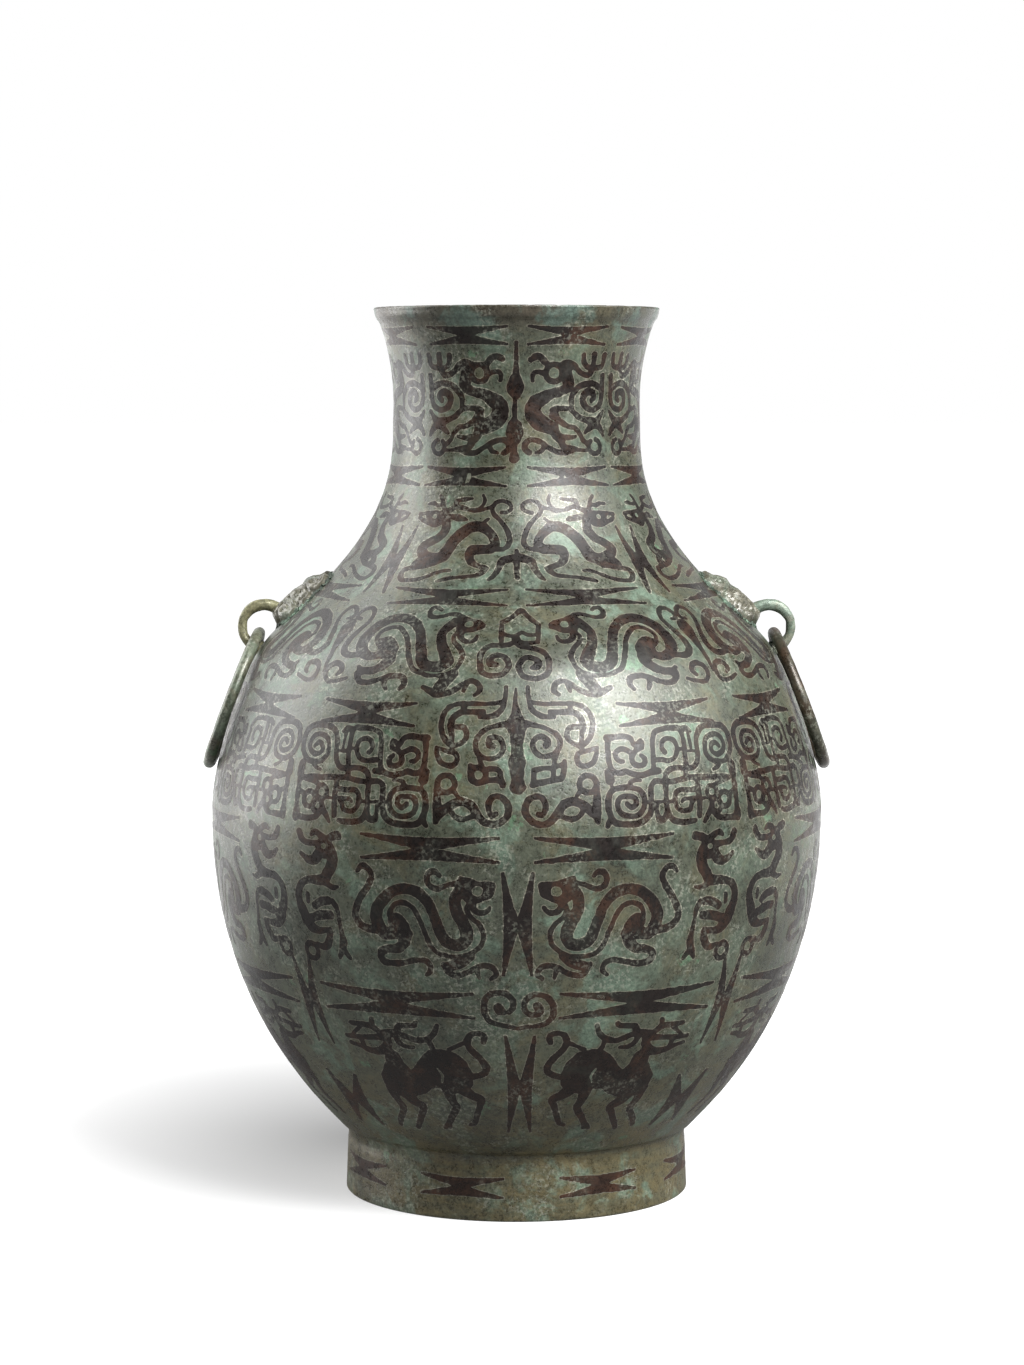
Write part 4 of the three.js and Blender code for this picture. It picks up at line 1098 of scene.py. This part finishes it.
# The face's forms: line and widths, height, how wide they round over, and a groove cut along the line
FORMS = {
    "horn": ("1.5 4.4, 2.2 7.6, 4.6 10.6, 8.6 12.3, 12.4 11.9, 14.4 9.4, 13.6 6.6, 11 5.4, 8.8 6.6, 8.8 8.8, "
             "10.6 9.4", "2.2 2.6 3.2 3.4 3.2 3 2.8 2.5 2.2 2 1.6", 1.25, 1.2, 0.7),
    "brow": ("1.8 1.6, 4.2 3.8, 8 4, 11.6 2.6, 14.8 2.4, 16 0.4, 15 -1.4, 13.4 -0.8",
             "1.8 2.4 2.4 2.2 2 1.9 1.7 1.4", 1.15, 1.0, 0.6),
    "cheek": ("9.2 -4.6, 12.2 -3.8, 14.6 -5.4, 14.4 -8.6, 12 -10.4, 9.6 -9.2, 9.8 -7, 11.8 -6.8",
              "1.6 2 2.2 2.2 2.1 1.9 1.7 1.4", 1.1, 0.9, 0.6),
    "nostril": ("0.8 -8.6, 3.4 -7.6, 6 -8.8, 6.8 -11.4, 5 -13, 3 -12, 3.4 -10.4", "1.8 2.2 2.3 2.2 2 1.7 1.4",
                1.1, 0.9, 0.6),
    "nose": ("0 7.4, 0 2, 0 -3, 0 -8.2", "3.4 2 2.4 4.2", 0.9, 1.2, 0),
    "crest": ("0 9, 0 11, 0 13.4", "1.8 3 1.2", 1.0, 0.9, 0),
    "eye": ("6.9 -0.7, 7.1 -0.7", "5", 1.5, 2.5, 0),
    "lid": ("3.4 -1.4, 5 1.4, 8 1.8, 10.6 -0.2, 10 -3, 7 -4, 4.4 -3.2, 3.4 -1.4", "0.9", 0.8, 0.45, 0),
    "ear": ("11.6 0.8, 14 0.6, 15.6 -2", "1.6 1.8 1.2", 0.7, 0.8, 0),
}
# The eye's pupil and the furrows of muzzle, nose and forehead
GROOVES = (("7 -0.7, 7 -0.6", 1.4), ("2.6 -5.4, 5.6 -5.8, 8 -6.6", 0.6), ("3 -6.6, 5.4 -7, 7.4 -8", 0.5),
           ("0 5.6, 1.6 3.4, 1.4 1", 0.5), ("4.4 6.4, 6 8.2, 7 10.2", 0.5), ("3.4 7, 4.6 8.8, 5.4 10", 0.5))
GROOVE_DEPTH = 0.38
GROOVE_ROUND = 0.3
PLATE_ROUND = 1.1
FACE_ROUND = 2.6
# The cast face's unevenness in mm, from so many waves, the shortest and the longest
WEAR = 0.008
WEAR_WAVES = (40, 1.0, 5.0)
WEAR_SEED = 40
THINNEST = 0.25
relief = raised(face.depth, MASK_PLATE, PLATE_ROUND)
bulge = np.sqrt(np.clip(1 - (face_x / FACE_HALF_WIDTH) ** 2, 0, 1))
bulge = np.interp(face_y, *np.array(FACE_RISE).T) * bulge
relief += raised(face.depth, 1, FACE_ROUND) * bulge
relief += np.maximum.reduce([raised(layer((line, widths)), height, soft)
                             for line, widths, height, soft, _ in FORMS.values()])
carved = [(line, groove) for line, _, _, _, groove in FORMS.values() if groove]
relief -= raised(layer(*carved, *GROOVES), GROOVE_DEPTH, GROOVE_ROUND)
worn = uneven(face_x, face_y, np.random.default_rng(WEAR_SEED), *WEAR_WAVES)
relief = np.maximum(relief + WEAR * worn, THINNEST)
mask_arc = 1000 * float(np.interp(MASK_HEIGHT, wall_line[:, 1], wall_arc))


def read_grid(grid, flat):
    """The grid's value at flat points, between its four nearest nodes."""
    across = np.clip((flat[:, 0] - face.xs[0]) / GRAIN, 0, len(face.xs) - 1.001)
    up = np.clip((flat[:, 1] - face.ys[0]) / GRAIN, 0, len(face.ys) - 1.001)
    i, j = across.astype(int), up.astype(int)
    across, up = across - i, up - j
    low = grid[j, i] * (1 - across) + grid[j, i + 1] * across
    high = grid[j + 1, i] * (1 - across) + grid[j + 1, i + 1] * across
    return low * (1 - up) + high * up


def wall_relief(name, field, heights, angle, material):
    """A closed relief over the inside of the field, standing on the wall by the heights in mm."""
    flat, corners = filled(field, face.xs, face.ys, GRAIN)
    arcs = mask_arc + flat[:, 1]
    radii = 1000 * np.interp(arcs / 1000, wall_arc, wall_line[:, 0])
    top, low = (on_wall(flat[:, 0], arcs, radii, angle, 1, stand)
                for stand in ((read_grid(heights, flat) / 1000)[:, None], MASK_BACK))
    count = len(top)
    faces = corners.tolist() + (corners[:, ::-1] + count).tolist()
    faces += [(b, a, a + count, b + count) for a, b in border_edges(corners)]
    return on_jar(name, (top, low), faces, 60, material)


mask_bronze = patina_material("mask_patina", srgb(90, 88, 76), 0.45, 0.5, 0.15, 0.12, specular=0.75,
                              earth=srgb(84, 78, 66), crust_amount=0.1, pit_amount=0.15, dullness=0.05)
joint_crust = patina_material("joint_crust", srgb(34, 42, 34), 0.5, 0.1, 0.0, 1.0, dullness=0.4,
                              verdigris=srgb(84, 110, 92), crust=srgb(122, 146, 124), crust_amount=0.85,
                              crust_reach=0.25)
# In mm: the crust grows past the mask's edge, more ragged than it, and thins out there
JOINT_SPREAD = 1.2
JOINT_RAGGED = 0.12
EDGE_RAGGED = 0.01
CRUST_THIN = 0.3
CRUST_RISE = 0.75
crust_share = np.clip((0.9 - face.depth) / JOINT_SPREAD, 0, 1)
crust_height = np.clip(CRUST_THIN + CRUST_RISE * crust_share + 0.06 * worn, 0.1, 1.3)
for side, angle in (("right", 90), ("left", 270)):
    mask = wall_relief(f"mask_relief_{side}", face.depth + EDGE_RAGGED * worn, relief, angle, mask_bronze)
    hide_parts(f"mask_{side}")
    joint = face.depth - JOINT_SPREAD + JOINT_RAGGED * worn
    wall_relief(f"mask_joint_{side}", joint, crust_height, angle, joint_crust)

# The loops: a cast bronze bar let into the snout's mouth, rounding outward and down and ending thickened
# on the wall. Its outer face is flattened, with a worn channel along the middle.
LOOP_HEIGHT = 0.2242
LOOP_STAND = 0.0056
LOOP_RADIUS = 0.0089
LOOP_WIRE = 0.0040
LOOP_ROOT_ANGLE = math.radians(160)
LOOP_FOOT_ANGLE = math.radians(-88)
LOOP_ROOT_SWELL = 0.0009
LOOP_FOOT_SWELL = 0.0012
LOOP_TOP_SWELL = 0.0005
LOOP_TOP = (0.38, 0.66)
LOOP_LUMPS = 0.00022
LOOP_PITS = 0.00008
LOOP_STEPS = 72
LOOP_SIDES = 28
# The bar's flattened outer face, as a share of its half, and the channel worn along it
LOOP_FLAT = 0.82
CHANNEL_DEPTH = 0.00022
CHANNEL_HALF = 0.0009
END_SHARE = 0.78

loop_wall = float(np.interp(LOOP_HEIGHT, wall_line[:, 1], wall_line[:, 0]))
loop_centre = Vector((loop_wall + LOOP_STAND, 0, LOOP_HEIGHT))


def swell(low, high, value):
    """Rises smoothly from 0 at low to 1 at high."""
    share = min(1, max(0, (value - low) / (high - low)))
    return share * share * (3 - 2 * share)


def turned_half(piece, name):
    """A copy of the right handle's piece for the left, its own mesh turned half round the jar."""
    pick(piece)
    bpy.ops.object.duplicate()
    twin = bpy.context.object
    twin.name = name
    bpy.ops.transform.rotate(value=math.pi, orient_axis="Z", center_override=(0, 0, 0))
    bpy.ops.object.transform_apply(location=True, rotation=True, scale=True)
    return twin


bpy.ops.object.select_all(action="DESELECT")
bpy.ops.mesh.primitive_circle_add(vertices=LOOP_SIDES, radius=LOOP_WIRE / 2)
loop = bpy.context.object
loop.name = "loop_bar_right"
start = Vector((math.cos(LOOP_ROOT_ANGLE), 0, math.sin(LOOP_ROOT_ANGLE)))
for vertex in loop.data.vertices:
    out, along = vertex.co.x, vertex.co.y
    flat_out = min(out, LOOP_FLAT * LOOP_WIRE / 2)
    channel = CHANNEL_DEPTH * (1 - min(1, abs(along) / CHANNEL_HALF) ** 2) if out > 0 else 0
    vertex.co = loop_centre + start * (LOOP_RADIUS + flat_out - channel) + Vector((0, along, 0))
bpy.ops.object.mode_set(mode="EDIT")
bpy.ops.mesh.select_all(action="SELECT")
bpy.ops.mesh.spin(steps=LOOP_STEPS, angle=LOOP_ROOT_ANGLE - LOOP_FOOT_ANGLE, center=loop_centre,
                  axis=(0, -1, 0))
bpy.ops.mesh.select_all(action="SELECT")
bpy.ops.mesh.fill_holes(sides=0)
bpy.ops.mesh.select_all(action="SELECT")
bpy.ops.mesh.normals_make_consistent(inside=False)
bpy.ops.object.mode_set(mode="OBJECT")
for vertex in loop.data.vertices:
    spoke = vertex.co - loop_centre
    turn = math.atan2(spoke.z, spoke.x)
    share = (LOOP_ROOT_ANGLE - turn) / (LOOP_ROOT_ANGLE - LOOP_FOOT_ANGLE)
    grown = LOOP_ROOT_SWELL * swell(END_SHARE, 1, 1 - share) + LOOP_FOOT_SWELL * swell(END_SHARE, 1, share)
    grown += LOOP_TOP_SWELL * swell(*LOOP_TOP, 1 - share)
    middle = loop_centre + Vector((math.cos(turn), 0, math.sin(turn))) * LOOP_RADIUS
    lump = LOOP_LUMPS * noise.noise(vertex.co * 380) + LOOP_PITS * noise.noise(vertex.co * 1100)
    vertex.co = middle + (vertex.co - middle) * (1 + (grown + lump) / (LOOP_WIRE / 2))
bpy.ops.object.shade_smooth_by_angle(angle=math.radians(60))
loop_bronze = patina_material("loop_patina", srgb(98, 110, 98), 0.7, 0.4, 0.2, 0.25, earth=srgb(128, 112, 92),
                              dullness=0.08)
olive_bronze = patina_material("loop_patina_left", srgb(124, 122, 94), 0.35, 0.5, 0.2, 0.25, dullness=0.08)
loop.data.materials.append(loop_bronze)
loop_left = turned_half(loop, "loop_bar_left")
loop_left.data.materials[0] = olive_bronze
for side, piece in (("right", loop), ("left", loop_left)):
    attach(piece, "jar")
    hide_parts(f"loop_{side}")

# The rings: round cast bars closed through the loops, hanging edge on to the front against the belly.
# They swing out and up in the loops; their skin is browner and more worn than the jar's.
RING_OUTSIDE = 0.060
RING_WIRE = 0.0048
RING_PIVOT = (0.10224, 0, 0.22160)
RING_LEAN = math.radians(21.10)
RING_INSET = 0.0001
RING_LUMPS = 0.00016
RING_PITS = 0.00006

bpy.ops.object.select_all(action="DESELECT")
bpy.ops.mesh.primitive_torus_add(major_segments=180, minor_segments=28, location=(0, 0, 0),
                                 major_radius=(RING_OUTSIDE - RING_WIRE) / 2, minor_radius=RING_WIRE / 2)
hoop = bpy.context.object
hoop.name = "ring_bar_right"
for vertex in hoop.data.vertices:
    out = Vector((vertex.co.x, vertex.co.y, 0)).normalized()
    middle = out * (RING_OUTSIDE - RING_WIRE) / 2
    lump = RING_LUMPS * noise.noise(vertex.co * 160) + RING_PITS * noise.noise(vertex.co * 700) - RING_INSET
    vertex.co = middle + (vertex.co - middle) * (1 + lump / (RING_WIRE / 2))
bpy.ops.transform.rotate(value=math.pi / 2, orient_axis="Y", center_override=(0, 0, 0))
bpy.ops.transform.translate(value=(0, 0, -(RING_OUTSIDE - RING_WIRE) / 2))
bpy.ops.transform.rotate(value=RING_LEAN, orient_axis="Y", center_override=(0, 0, 0))
bpy.ops.transform.translate(value=RING_PIVOT)
bpy.ops.object.transform_apply(location=True, rotation=True, scale=True)
bpy.ops.object.shade_smooth_by_angle(angle=math.radians(60))
ring_bronze = patina_material("ring_patina", srgb(54, 47, 36), 0.2, 0.6, 0.3, 0.3, earth=srgb(70, 52, 38),
                              crust_amount=0.5)
green_ring = patina_material("ring_patina_left", srgb(96, 100, 84), 0.6, 0.6, 0.2, 0.3,
                             earth=srgb(70, 58, 42), crust_amount=0.7)
hoop.data.materials.append(ring_bronze)
hoop_left = turned_half(hoop, "ring_bar_left")
hoop_left.data.materials[0] = green_ring
for side, piece in (("right", hoop), ("left", hoop_left)):
    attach(piece, f"ring_{side}")
    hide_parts(f"ring_{side}")
